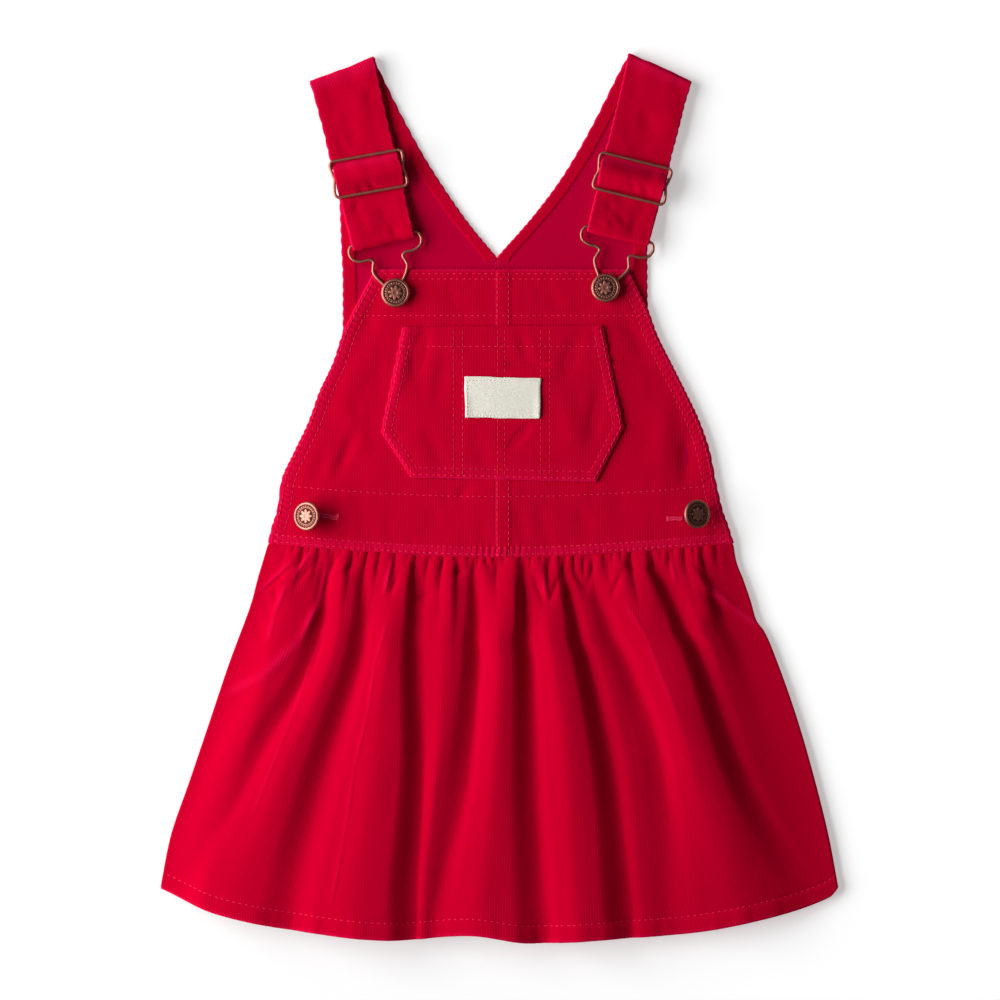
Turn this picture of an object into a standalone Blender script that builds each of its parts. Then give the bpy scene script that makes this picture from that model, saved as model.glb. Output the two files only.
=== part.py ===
"""A child's corduroy pinafore dress, laid flat on its back.

Sizes are in millimetres until the meshes are made. X runs across the dress, Y up it and Z off
the surface that it lies on. The origin is under the middle of the dress's box, so the tables'
heights up the dress, which are taken from the middle of the pattern, all move by MIDDLE_Y.
"""
from collections import namedtuple
import math

import bmesh
import bpy
from mathutils import Matrix, Vector
import numpy as np

MM = 0.001
MIDDLE_Y = 1.56          # middle of the dress's box, on the tables' own Y

# ---------------------------------------------------------------- driving dimensions
CLOTH = 1.6              # thickness of one corduroy wall
LABEL_CLOTH = 1.0
GAP = 0.3                # left between neighbouring pieces
SEAM_GAP = 0.5           # left along the gathered waist seam
WIRE_RADIUS = 0.9        # sliders and hooks

BIB_TOP = 134.5          # Y of the bib's top edge
BIB_SEAM_X = 1.8         # X of the centre-front seam
BACK_SEAM_X = -1.5        # X of the centre-back seam, and how far up the V its shift runs out
BACK_SEAM_RUN = 50.0
NECK_POINT = 141.6       # Y of the bottom of the back's V neck

SEAM_SIDE_Y = -25.2      # the waist seam at the side seams
SEAM_DIP = 8.1           # and how far it hangs lower in the middle
SEAM_HALF = 134.8
SEAM_POWER = 1.6

BIB_RISE = 1.8           # how far the seam's bulk lifts the front in the middle of the waist
BIB_ROUND = 25.0         # width of the rounded-off stretch along each side of the bib
SKIRT_ROUND = 16.0       # and along each side of the skirt at the waist
ROUND_SPREAD = (10.0, 44.0)                # how much wider that is lower down, left and right
GATHER_DROP = 0.6        # valleys of the gathers below the bib's cloth
HEM_RISE = 5.0           # how far the valleys of the front skirt lift towards the hem
HEM_RISE_PACE = 1.3
BACK_INSET = 1.5         # back skirt inside the front skirt's outline
POCKET_PUFF = 0.6

HOOK_REACH = 32.3        # bib button to the hook's bar
SLIDER_HALF_WIDTH = 21.4
SLIDER_HALF_HEIGHT = 10.7
SLIDER_CORNER = 2.4
SLIDER_PINCH = 1.2

BUTTON_RADIUS = 8.5
SHANK_RADIUS = 3.0
WAIST_BUTTON_TILT = 26.0

# ---------------------------------------------------------------- outlines and folds
Side = namedtuple("Side", "y left right")
BIB_SIDES = (
    Side(134.5, -72.2, 75.2),
    Side(124.0, -78.1, 80.6),
    Side(111.7, -84.8, 86.6),
    Side(97.7, -91.5, 91.8),
    Side(81.9, -96.8, 99.7),
    Side(64.4, -105.0, 108.5),
    Side(46.8, -111.4, 116.7),
    Side(29.3, -119.6, 122.6),
    Side(11.7, -127.2, 126.1),
    Side(-5.9, -129.8, 130.2),
    Side(-15.5, -132.8, 133.6),
    Side(-25.2, -135.0, 136.4),
)
SKIRT_SIDES = (
    Side(-25.2, -135.0, 136.4),
    Side(-35.1, -138.0, 138.1),
    Side(-46.8, -141.4, 142.5),
    Side(-58.5, -144.4, 146.5),
    Side(-70.2, -148.4, 150.0),
    Side(-77.0, -151.0, 154.8),
    Side(-93.6, -157.2, 161.8),
    Side(-128.7, -169.0, 174.1),
    Side(-163.8, -180.8, 184.2),
    Side(-198.9, -192.6, 192.8),
    Side(-227.0, -198.0, 198.0),
)

HemPoint = namedtuple("HemPoint", "across y")      # across: 0 at the left side, 1 at the right
HEM = (
    HemPoint(0.000, -227.0),
    HemPoint(0.084, -241.2),
    HemPoint(0.208, -251.3),
    HemPoint(0.353, -256.4),
    HemPoint(0.456, -253.6),
    HemPoint(0.550, -258.3),
    HemPoint(0.643, -256.3),
    HemPoint(0.767, -253.1),
    HemPoint(0.891, -244.3),
    HemPoint(0.988, -232.0),
    HemPoint(1.000, -227.0),
)

# Each fold's steep right flank: its place across the skirt and its drop, at four levels down.
Fold = namedtuple("Fold", "waist upper lower hem drop_waist drop_upper drop_lower drop_hem")
FOLDS = (
    Fold(0.125, 0.130, 0.075, 0.018, 2.2, 4.5, 3.5, 1.0),
    Fold(0.205, 0.213, 0.184, 0.166, 2.6, 6.0, 6.0, 5.0),
    Fold(0.312, 0.319, 0.344, 0.354, 2.6, 7.5, 8.5, 8.0),
    Fold(0.439, 0.436, 0.421, 0.395, 2.6, 5.5, 5.0, 1.2),
    Fold(0.540, 0.534, 0.530, 0.543, 3.2, 8.0, 7.5, 6.5),
    Fold(0.629, 0.642, 0.663, 0.674, 2.6, 8.5, 8.5, 7.5),
    Fold(0.672, 0.707, 0.743, 0.738, 1.2, 3.2, 2.8, 1.5),
    Fold(0.821, 0.848, 0.871, 0.945, 3.2, 8.0, 8.5, 2.5),
    Fold(0.925, 0.930, 0.947, 0.985, 2.2, 4.5, 2.0, 0.5),
)
FOLD_LEVELS = (0.04, 0.24, 0.56, 0.95)
FOLD_WIDTHS = (5.0, 10.0, 14.0, 19.0)      # of the steep flank
FOLD_CREST = (0.72, 0.60)                  # a crest's place between two flanks, far left and far right
FOLD_SHOULDER = 0.86                       # height left where the steep flank starts
SKIRT_SPREAD = 126.3                       # how much wider the hem is than the waist
Gather = namedtuple("Gather", "x length height")   # X on the waist seam
GATHERS = (
    Gather(-128.4, 22, 1.4), Gather(-117.9, 45, 1.8), Gather(-107.9, 30, 1.8), Gather(-100.3, 18, 1.4),
    Gather(-89.2, 50, 2.2), Gather(-79.9, 20, 1.6), Gather(-72.8, 45, 1.6), Gather(-65.8, 22, 1.6),
    Gather(-52.4, 50, 2.4), Gather(-44.2, 20, 1.5), Gather(-37.1, 40, 1.8), Gather(-27.2, 60, 2.2),
    Gather(-19.0, 20, 1.6), Gather(-7.3, 35, 2.3), Gather(7.9, 60, 2.6), Gather(24.3, 25, 2.4),
    Gather(34.2, 40, 1.9), Gather(41.2, 18, 1.4), Gather(47.1, 20, 1.2), Gather(51.8, 35, 1.2),
    Gather(58.2, 20, 1.6), Gather(71.1, 40, 2.4), Gather(85.1, 50, 2.3), Gather(95.6, 20, 1.8),
    Gather(103.3, 25, 1.6), Gather(114.4, 50, 1.9), Gather(123.1, 20, 1.4), Gather(130.2, 30, 1.1),
)
SKIRT_ROWS = (0.0, 0.03, 0.07, 0.12, 0.18, 0.26, 0.36, 0.48, 0.61, 0.74, 0.87, 1.0)
SKIRT_LENGTH = 222.0     # waist seam to hem, for the lengths of the gathers
GATHER_FALL = 0.40       # share of the way to the next gather that falls

# Half of the back, cut in one with its strap: its outer edge, and the V of the neck.
Outer = namedtuple("Outer", "y left right")
BACK_OUTER = (
    Outer(-25.2, 132.6, 132.6), Outer(-5.9, 128.2, 128.2), Outer(11.7, 124.4, 124.0),
    Outer(29.3, 117.8, 117.8), Outer(46.8, 109.8, 109.8), Outer(64.4, 103.2, 101.0),
    Outer(81.9, 95.4, 92.5), Outer(97.7, 91.2, 87.4), Outer(125.8, 91.2, 86.0),
    Outer(152.0, 92.2, 86.0), Outer(172.0, 93.0, 87.0), Outer(190.0, 94.5, 89.5),
    Outer(206.0, 97.5, 94.0), Outer(222.0, 102.5, 100.0), Outer(243.9, 111.5, 111.0),
)
Edge = namedtuple("Edge", "y x")
NECK_EDGE = (
    Edge(141.6, 0.15), Edge(166.1, 20.9), Edge(194.2, 40.6), Edge(222.3, 56.5), Edge(252.0, 71.2),
)
BackRow = namedtuple("BackRow", "outer inner")     # Y of a row's two ends
BACK_ROWS = (
    BackRow(11.7, 11.7), BackRow(46.8, 46.8), BackRow(81.9, 81.9), BackRow(97.7, 97.7),
    BackRow(120.0, 120.0), BackRow(139.0, 141.6), BackRow(150.0, 154.0), BackRow(161.0, 167.0),
    BackRow(173.0, 182.0), BackRow(186.0, 197.0), BackRow(200.0, 213.0), BackRow(214.0, 229.0),
    BackRow(229.0, 244.0),
)

Corner = namedtuple("Corner", "left_x left_y right_x right_y")
POCKET = (Corner(-56.5, 100.6, 60.3, 101.8), Corner(-69.0, 39.8, 72.6, 42.4), Corner(-51.6, 13.4, 56.5, 10.9))
LABEL = (Corner(-20.3, 72.1, 24.0, 70.9), Corner(-19.8, 48.4, 23.4, 47.6))

# side: -1 left, 1 right. length: bib button to the middle of the shoulder's bend. slider_in: how
# far the slider sits towards the neck. Tilts: degrees that a row across rises towards the neck.
Strap = namedtuple("Strap", "name side button_x button_y lean length fold_tilt slider slider_tilt slider_in hook_tilt")
STRAPS = (
    Strap("left", -1, -60.7, 121.1, 13.5, 132.0, 20.4, 60.6, 10.2, 0.9, 12.5),
    Strap("right", 1, 62.0, 124.0, 13.9, 130.6, 24.1, 64.9, 13.9, 0.2, 14.2),
)
STRAP_WIDTHS = ((0.0, 38.8), (14.0, 37.7), (45.0, 37.2), (61.0, 37.8), (77.0, 36.6), (104.0, 35.9))
STRAP_COLUMNS = 5

# The hook's wire from the middle of its bar round one side: across, up from the button.
HOOK_HALF = (
    (0.0, 32.3), (10.0, 32.3), (18.6, 32.3), (20.9, 30.6), (21.5, 27.6), (20.0, 24.2), (15.8, 22.3),
    (11.0, 22.2), (8.8, 20.6), (9.6, 17.6), (10.2, 14.4), (8.4, 10.2), (5.6, 6.0), (4.7, 2.6),
    (4.5, -0.6), (2.9, -3.6), (0.0, -4.8),
)

WAIST_BUTTONS = (("left", -109.9, -9.4, -1), ("right", 112.8, -8.2, 1))     # name, x, y, side
WAIST_BUTTON_LIFT = 4.6

# ---------------------------------------------------------------- heights of the layers
FRONT_FLOOR = CLOTH + GAP
RETURN_RUN = FRONT_FLOOR + CLOTH / 2                   # strap going back up behind, its middle
LOOP_RADIUS = WIRE_RADIUS + GAP + CLOTH / 2            # cloth round a bar
HOOK_HEIGHT = RETURN_RUN + LOOP_RADIUS
LOW_RUN = RETURN_RUN + CLOTH + GAP                     # strap under the slider's outer bars
SLIDER_HEIGHT = LOW_RUN + CLOTH / 2 + GAP + WIRE_RADIUS
HIGH_RUN = SLIDER_HEIGHT + LOOP_RADIUS + CLOTH + 2 * GAP   # strap over the slider's middle bar
BIB_BUTTON_FLOOR = FRONT_FLOOR + CLOTH + GAP
HOOK_TOP = HOOK_HEIGHT + WIRE_RADIUS


# ---------------------------------------------------------------- curves
def smooth(xs, ys, x):
    """A curve through the points, level wherever they turn, straight past their ends."""
    xs, ys, x = (np.asarray(v, float) for v in (xs, ys, x))
    step = np.diff(xs)
    slope = np.diff(ys) / step
    lean = np.zeros_like(ys)
    lean[0], lean[-1] = slope[0], slope[-1]
    product = slope[:-1] * slope[1:]
    same = product > 0
    lean[1:-1][same] = 2 * product[same] / (slope[:-1] + slope[1:])[same]
    i = np.clip(np.searchsorted(xs, x) - 1, 0, len(step) - 1)
    t = (x - xs[i]) / step[i]
    inside = np.clip(t, 0, 1)
    curve = (
        ys[i] * (1 + 2 * inside) * (1 - inside) ** 2
        + ys[i + 1] * inside ** 2 * (3 - 2 * inside)
        + step[i] * lean[i] * inside * (1 - inside) ** 2
        - step[i] * lean[i + 1] * inside ** 2 * (1 - inside)
    )
    return curve + (t - inside) * step[i] * np.where(t < 0, lean[i], lean[i + 1])


def along(table, key, value, x):
    """The curve of one column of a table over another."""
    rows = sorted(table, key=lambda row: getattr(row, key))
    return smooth([getattr(r, key) for r in rows], [getattr(r, value) for r in rows], x)


def ease(t):
    t = np.clip(t, 0.0, 1.0)
    return t * t * (3 - 2 * t)


def seam_y(x):
    """Height up the dress of the waist seam."""
    return SEAM_SIDE_Y - SEAM_DIP * (1 - np.clip(np.abs(x) / SEAM_HALF, 0, 1) ** SEAM_POWER)


# ---------------------------------------------------------------- meshes
def material(name, colour, roughness, metallic=0.0):
    made = bpy.data.materials.new(name)
    made.use_nodes = True
    shader = made.node_tree.nodes["Principled BSDF"]
    shader.inputs["Base Color"].default_value = (*colour, 1.0)
    shader.inputs["Roughness"].default_value = roughness
    shader.inputs["Metallic"].default_value = metallic
    return made


def new_object(name, points, faces, finish):
    """An object from points in millimetres, with its faces turned outwards."""
    mesh = bpy.data.meshes.new(name)
    placed = (np.asarray(points) - (0, MIDDLE_Y, 0)) * MM
    mesh.from_pydata([tuple(p) for p in placed], [], faces)
    work = bmesh.new()
    work.from_mesh(mesh)
    bmesh.ops.recalc_face_normals(work, faces=work.faces)
    work.to_mesh(mesh)
    work.free()
    mesh.materials.append(finish)
    mesh.shade_smooth()
    mesh.set_sharp_from_angle(angle=math.radians(40))
    obj = bpy.data.objects.new(name, mesh)
    bpy.context.scene.collection.objects.link(obj)
    return obj


def wall(name, middle, thickness, finish):
    """A closed cloth wall either side of a grid of middle points."""
    middle = np.asarray(middle, float)
    rows, columns = middle.shape[:2]
    normal = np.cross(np.gradient(middle, axis=0), np.gradient(middle, axis=1))
    normal /= np.linalg.norm(normal, axis=2, keepdims=True)
    points = np.concatenate([
        (middle + normal * thickness / 2).reshape(-1, 3),
        (middle - normal * thickness / 2).reshape(-1, 3),
    ])
    behind = rows * columns

    def at(i, j):
        return i * columns + j

    faces = []
    for i in range(rows - 1):
        for j in range(columns - 1):
            quad = (at(i, j), at(i, j + 1), at(i + 1, j + 1), at(i + 1, j))
            faces += [quad, tuple(behind + k for k in reversed(quad))]
    rim = (
        [at(0, j) for j in range(columns)]
        + [at(i, columns - 1) for i in range(1, rows)]
        + [at(rows - 1, j) for j in range(columns - 2, -1, -1)]
        + [at(i, 0) for i in range(rows - 2, 0, -1)]
    )
    for a, b in zip(rim, rim[1:] + rim[:1]):
        faces.append((b, a, behind + a, behind + b))
    return new_object(name, points, faces, finish)


def tube(name, path, radius, sides, finish, closed):
    """A round wire along a path that lies at one height."""
    path = np.asarray(path, float)
    if closed:
        ahead = np.roll(path, -1, axis=0) - np.roll(path, 1, axis=0)
    else:
        ahead = np.gradient(path, axis=0)
    ahead /= np.linalg.norm(ahead, axis=1, keepdims=True)
    up = np.array((0.0, 0.0, 1.0))
    aside = np.cross(ahead, up)
    angles = [2 * math.pi * (k + 0.5) / sides for k in range(sides)]
    points = [
        p + radius * (math.cos(a) * s + math.sin(a) * up)
        for p, s in zip(path, aside) for a in angles
    ]
    count = len(path)
    faces = []
    for i in range(count if closed else count - 1):
        for k in range(sides):
            a, b = i * sides + k, i * sides + (k + 1) % sides
            c, d = (i + 1) % count * sides + (k + 1) % sides, (i + 1) % count * sides + k
            faces.append((a, b, c, d))
    if not closed:
        faces += [tuple(range(sides)), tuple((count - 1) * sides + k for k in range(sides))]
    return new_object(name, points, faces, finish)


def turned(name, profile, sides, finish, place):
    """A solid turned round its own axis, from (radius, height) points, set where `place` says."""
    points, rings = [], []
    for radius, height in profile:
        if radius == 0:
            rings.append([len(points)])
            points.append((0, 0, height))
            continue
        rings.append(list(range(len(points), len(points) + sides)))
        for k in range(sides):
            a = 2 * math.pi * k / sides
            points.append((radius * math.cos(a), radius * math.sin(a), height))
    faces = []
    for low, high in zip(rings, rings[1:]):
        for k in range(sides):
            n = (k + 1) % sides
            quad = [low[k % len(low)], low[n % len(low)], high[n % len(high)], high[k % len(high)]]
            faces.append(tuple(dict.fromkeys(quad)))
    placed = [tuple(place @ Vector(p)) for p in points]
    return new_object(name, placed, faces, finish)


def closed_curve(points, per_span):
    """A smooth closed curve through the points, with so many steps between them."""
    points = np.asarray(points, float)
    before, after, later = (np.roll(points, n, axis=0) for n in (1, -1, -2))
    made = []
    for a, b, c, d in zip(before, points, after, later):
        for t in np.arange(per_span) / per_span:
            made.append(0.5 * (
                2 * b + (c - a) * t + (2 * a - 5 * b + 4 * c - d) * t ** 2
                + (3 * b - a - 3 * c + d) * t ** 3
            ))
    return np.array(made)


# ---------------------------------------------------------------- front: bib, pocket, label
def front_floor(x, y):
    """Height of the underside of the bib's cloth."""
    left, right = along(BIB_SIDES, "y", "left", y), along(BIB_SIDES, "y", "right", y)
    down = np.clip((BIB_TOP - y) / (BIB_TOP - seam_y(x)), 0, 1)
    inward = ease(np.minimum(x - left, right - x) / BIB_ROUND)
    return FRONT_FLOOR + BIB_RISE * down ** 1.5 * inward


def pocket_floor(x, y):
    top, bottom = POCKET[0].left_y, POCKET[-1].left_y
    puff = np.clip((top - y) / (top - bottom), 0, 1)
    narrow = np.clip(np.abs(x) / POCKET[0].right_x, 0, 1)
    return front_floor(x, y) + CLOTH + GAP + POCKET_PUFF * 4 * puff * (1 - puff) * (1 - narrow ** 2)


def label_floor(x, y):
    return pocket_floor(x, y) + CLOTH + GAP


def bib(name, side, finish):
    """Half of the bib, from its top edge to the waist seam."""
    rows = []
    for down in np.linspace(0, 1, 15):
        y_side = BIB_TOP + down * (SEAM_SIDE_Y - BIB_TOP)
        edge = float(along(BIB_SIDES, "y", "left" if side < 0 else "right", y_side))
        x = np.linspace(BIB_SEAM_X + side * GAP / 2, edge, 10)
        y = BIB_TOP + down * (seam_y(x) - BIB_TOP)
        rows.append(np.stack([x, y, front_floor(x, y) + CLOTH / 2], axis=1))
    return wall(name, rows, CLOTH, finish)


def patch(name, corners, steps, columns, floor, thickness, finish):
    """A flat piece with straight sides, lying on what `floor` gives."""
    rows = []
    for upper, lower, count in zip(corners, corners[1:], steps):
        for t in np.arange(count) / count:
            rows.append(np.array(upper) + t * (np.array(lower) - np.array(upper)))
    rows.append(np.array(corners[-1]))
    middle = []
    for left_x, left_y, right_x, right_y in rows:
        x = np.linspace(left_x, right_x, columns)
        y = np.linspace(left_y, right_y, columns)
        middle.append(np.stack([x, y, floor(x, y) + thickness / 2], axis=1))
    return wall(name, middle, thickness, finish)


# ---------------------------------------------------------------- skirt
def skirt_plan(across, down, inset=0.0):
    """Plan position on the skirt of a place across and down it, each from 0 to 1."""
    y_side = SEAM_SIDE_Y + down * (HEM[0].y - SEAM_SIDE_Y)
    left = along(SKIRT_SIDES, "y", "left", y_side) + inset
    right = along(SKIRT_SIDES, "y", "right", y_side) - inset
    x = left + across * (right - left)
    top = seam_y(x) - SEAM_GAP
    hem = along(HEM, "across", "y", across) + inset
    return x, top + down * (hem - top), left, right


def gather_place(gather):
    left, right = SKIRT_SIDES[0].left, SKIRT_SIDES[0].right
    return (gather.x - left) / (right - left)


def gather_valleys():
    """Places across the skirt between the gathers, with the skirt's two sides."""
    crests = [gather_place(g) for g in GATHERS]
    return [0.0] + [a + GATHER_FALL * (b - a) for a, b in zip(crests, crests[1:])] + [1.0]


def gathers_height(across, down):
    """Height of the small gathers: round tops, sharp valleys, and a pinch at the seam."""
    valleys = gather_valleys()
    pinch = 0.45 + 0.55 * ease(down * SKIRT_LENGTH / 7)
    height = np.zeros_like(across)
    for gather, before, after in zip(GATHERS, valleys, valleys[1:]):
        crest = gather_place(gather)
        side = np.where(across < crest, crest - before, after - crest)
        t = np.clip(np.abs(across - crest) / side, 0, 1)
        fade = 1 - ease(down * SKIRT_LENGTH / gather.length)
        height += gather.height * fade * pinch * (1 - t ** 1.7)
    return height


def folds_height(across, down):
    """Height of the big folds, for a row of places at one level down the skirt."""
    width = SKIRT_SIDES[0].right - SKIRT_SIDES[0].left + SKIRT_SPREAD * down
    half = float(np.interp(down, FOLD_LEVELS, FOLD_WIDTHS)) / width / 2
    grown = 0.12 + 0.88 * float(ease((down - 0.008) / 0.085))
    places, heights, last = [0.0], [0.0], 0.0
    for fold in FOLDS:
        at = float(smooth(FOLD_LEVELS, fold[:4], min(down, 0.97)))
        drop = float(np.interp(down, FOLD_LEVELS, fold[4:])) * grown
        fall = min(half, 0.4 * (at - last), 0.8 * (1 - at))
        crest = (FOLD_CREST[0] + (FOLD_CREST[1] - FOLD_CREST[0]) * at) * (at - fall - last)
        places += [last + 0.45 * crest, last + crest, at - fall, at + fall]
        heights += [0.58 * drop, drop, FOLD_SHOULDER * drop, 0.0]
        last = at + fall
    return smooth(places + [1.0], heights + [0.0], across)


def skirt_height(across, down, x, left, right):
    """Height of the middle of the front skirt's cloth."""
    round_left, round_right = (SKIRT_ROUND + spread * ease(2 * down) for spread in ROUND_SPREAD)
    inward = ease(np.minimum((x - left) / round_left, (right - x) / round_right))
    lift = (
        BIB_RISE - GATHER_DROP + HEM_RISE * ease(down * HEM_RISE_PACE)
        + gathers_height(across, down) + folds_height(across, down)
    )
    return FRONT_FLOOR + CLOTH / 2 + inward * lift


def skirt_front(finish):
    valleys = gather_valleys()
    places = []
    for gather, before, after in zip(GATHERS, valleys, valleys[1:]):
        crest = gather_place(gather)
        places += [before, (before + crest) / 2, crest, (crest + after) / 2]
    across = np.array(places + [1.0])
    rows = []
    for down in SKIRT_ROWS:
        x, y, left, right = skirt_plan(across, down)
        rows.append(np.stack([x, y, skirt_height(across, down, x, left, right)], axis=1))
    return wall("skirt_front", rows, CLOTH, finish)


def skirt_back(finish):
    across = np.linspace(0, 1, 25)
    rows = []
    for down in np.linspace(0, 1, 8):
        x, y, _, _ = skirt_plan(across, down, BACK_INSET)
        rows.append(np.stack([x, y, np.full_like(x, CLOTH / 2)], axis=1))
    return wall("skirt_back", rows, CLOTH, finish)


# ---------------------------------------------------------------- back and straps
def strap_place(strap, s):
    """Middle of the strap, `s` down it from the shoulder fold."""
    lean = math.radians(strap.lean)
    up = strap.length - s
    return np.array((
        strap.button_x + strap.side * math.sin(lean) * up,
        strap.button_y + math.cos(lean) * up,
    ))


def strap_row(strap, s, z):
    """A row of points across the strap, from its outer edge to its inner one."""
    stations = (0.0, 30.0, strap.slider - 12, strap.slider + 12, strap.length - HOOK_REACH)
    tilts = (strap.fold_tilt, strap.lean, strap.slider_tilt, strap.slider_tilt, strap.hook_tilt)
    tilt = math.radians(float(smooth(stations, tilts, np.clip(s, 0, stations[-1]))))
    width = float(smooth(*zip(*STRAP_WIDTHS), s)) / math.cos(tilt - math.radians(strap.lean))
    inward = np.array((-strap.side * math.cos(tilt), math.sin(tilt)))
    middle = strap_place(strap, s) + inward * strap.slider_in * math.exp(-((s - strap.slider) / 9) ** 2)
    return np.array([
        (*(middle + inward * width * t), z) for t in np.linspace(-0.5, 0.5, STRAP_COLUMNS + 1)
    ])


def arc(middle, radius, start, end, steps):
    """Points on a round bend, as (distance down the strap, height)."""
    turns = np.radians(np.linspace(start, end, steps + 1))
    return [(middle[0] + radius * math.cos(a), middle[1] + radius * math.sin(a)) for a in turns]


def strap_path(strap):
    """The strap's way from the shoulder: slider, hook and back to the slider's middle bar."""
    fold = (LOW_RUN - CLOTH / 2) / 2
    hook_s = strap.length - HOOK_REACH
    bar_s = strap.slider
    half_hump = SLIDER_HALF_HEIGHT - 1.0
    path = arc((0, CLOTH / 2 + fold), fold, 270 - 30, 90, 5)
    path += [(s, LOW_RUN) for s in np.linspace(8, bar_s - SLIDER_HALF_HEIGHT - 1, 4)]
    for t in np.linspace(-1, 1, 11):
        path.append((bar_s + t * half_hump, LOW_RUN + (HIGH_RUN - LOW_RUN) * (1 + math.cos(math.pi * t)) / 2))
    path.append((bar_s + SLIDER_HALF_HEIGHT + 1, LOW_RUN))
    path.append(((bar_s + SLIDER_HALF_HEIGHT + 1 + hook_s) / 2, (LOW_RUN + HOOK_HEIGHT + LOOP_RADIUS) / 2))
    path += arc((hook_s, HOOK_HEIGHT), LOOP_RADIUS, 90, -90, 6)
    path += [(s, RETURN_RUN) for s in np.linspace(hook_s - 10, bar_s + 7, 3)]
    path.append((bar_s + 3.2, RETURN_RUN + 0.7))
    path += arc((bar_s, SLIDER_HEIGHT), LOOP_RADIUS, -90, -340, 8)
    return path


def back_ends(strap, outer_y, inner_y):
    """X of a row's two ends: on the back's outer edge, and on the seam or the V of the neck."""
    seam = BACK_SEAM_X * (1 - ease((inner_y - NECK_POINT) / BACK_SEAM_RUN))
    neck = float(along(NECK_EDGE, "y", "x", inner_y)) if inner_y > NECK_POINT else GAP / 2
    return strap.side * float(along(BACK_OUTER, "y", strap.name, outer_y)), seam + strap.side * neck


def back(strap, finish):
    """Half of the back and its strap, as one long piece."""
    across = np.linspace(0, 1, STRAP_COLUMNS + 1)
    outer_x, inner_x = back_ends(strap, BACK_OUTER[0].y, SEAM_SIDE_Y)
    x = outer_x + across * (inner_x - outer_x)
    rows = [np.stack([x, seam_y(x), np.full_like(x, CLOTH / 2)], axis=1)]
    for row in BACK_ROWS:
        outer_x, inner_x = back_ends(strap, row.outer, row.inner)
        outer, inner = np.array((outer_x, row.outer)), np.array((inner_x, row.inner))
        rows.append(np.array([(*(outer + (inner - outer) * t), CLOTH / 2) for t in across]))
    rows.append(strap_row(strap, 0.0, CLOTH / 2))
    rows += [strap_row(strap, s, z) for s, z in strap_path(strap)]
    return wall(f"back_{strap.name}", rows, CLOTH, finish)


# ---------------------------------------------------------------- metal
def local_place(strap, up, tilt):
    """Turns the plan points of a slider or hook and moves them up the strap from the button."""
    x, y = strap_place(strap, strap.length - up)
    a = math.radians(-strap.side * tilt)
    turn = np.array(((math.cos(a), -math.sin(a)), (math.sin(a), math.cos(a))))
    return lambda points, z: np.array([(*(turn @ np.array(p) + (x, y)), z) for p in points])


def slider(strap, finish):
    """A wire frame with pinched sides, and a bar across its middle."""
    w, h, r = SLIDER_HALF_WIDTH, SLIDER_HALF_HEIGHT, SLIDER_CORNER
    corner = [(w - r + r * math.cos(a), h - r + r * math.sin(a)) for a in np.radians((0, 30, 60, 90))]
    quarter = [(w - SLIDER_PINCH, 0), (w - SLIDER_PINCH / 2, h / 3)] + corner + [(w / 2, h)]
    upper = quarter + [(0, h)] + [(-x, y) for x, y in reversed(quarter)]
    outline = upper + [(x, -y) for x, y in reversed(upper[1:-1])]
    shift = -strap.side * strap.slider_in
    outline = [(x + shift, y) for x, y in outline]
    place = local_place(strap, strap.length - strap.slider, strap.slider_tilt)
    frame = tube(f"slider_{strap.name}", place(outline, SLIDER_HEIGHT), WIRE_RADIUS, 8, finish, True)
    ends = [(shift - w + SLIDER_PINCH, 0), (shift + w - SLIDER_PINCH, 0)]
    bar = tube(
        f"slider_bar_{strap.name}", place(ends, SLIDER_HEIGHT), WIRE_RADIUS * 0.97, 10, finish, False,
    )
    bar.hide_render = True
    bar.display_type = "WIRE"
    union = frame.modifiers.new("middle bar", "BOOLEAN")
    union.operation = "UNION"
    union.solver = "EXACT"
    union.object = bar
    return frame


def hook(strap, finish):
    """The bent wire that the strap hangs on, round the bib button's shank."""
    loop = list(HOOK_HALF) + [(-x, y) for x, y in reversed(HOOK_HALF[1:-1])]
    place = local_place(strap, 0.0, strap.hook_tilt)
    path = closed_curve(place(loop, HOOK_HEIGHT), 2)
    return tube(f"hook_{strap.name}", path, WIRE_RADIUS, 8, finish, True)


def button(name, place, shank, finish):
    """A domed tack button on its shank, of the given height."""
    rim = shank + 1.1
    profile = (
        (0, 0), (SHANK_RADIUS, 0), (SHANK_RADIUS, shank), (BUTTON_RADIUS - 1.2, shank),
        (BUTTON_RADIUS, rim), (BUTTON_RADIUS - 0.6, rim + 0.7), (BUTTON_RADIUS - 3.5, rim + 1.6),
        (0, rim + 1.9),
    )
    return turned(name, profile, 24, finish, place)


def buttons(finish):
    for strap in STRAPS:
        place = Matrix.Translation((strap.button_x, strap.button_y, BIB_BUTTON_FLOOR))
        button(f"bib_button_{strap.name}", place, HOOK_TOP + GAP - BIB_BUTTON_FLOOR, finish)
    for name, x, y, side in WAIST_BUTTONS:
        cloth_top = float(front_floor(np.array(x), np.array(y))) + CLOTH + GAP
        tilt = Matrix.Rotation(math.radians(side * WAIST_BUTTON_TILT), 4, "Y")
        place = Matrix.Translation((x, y, cloth_top + SHANK_RADIUS * 0.5)) @ tilt
        button(f"waist_button_{name}", place, WAIST_BUTTON_LIFT, finish)


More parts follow.
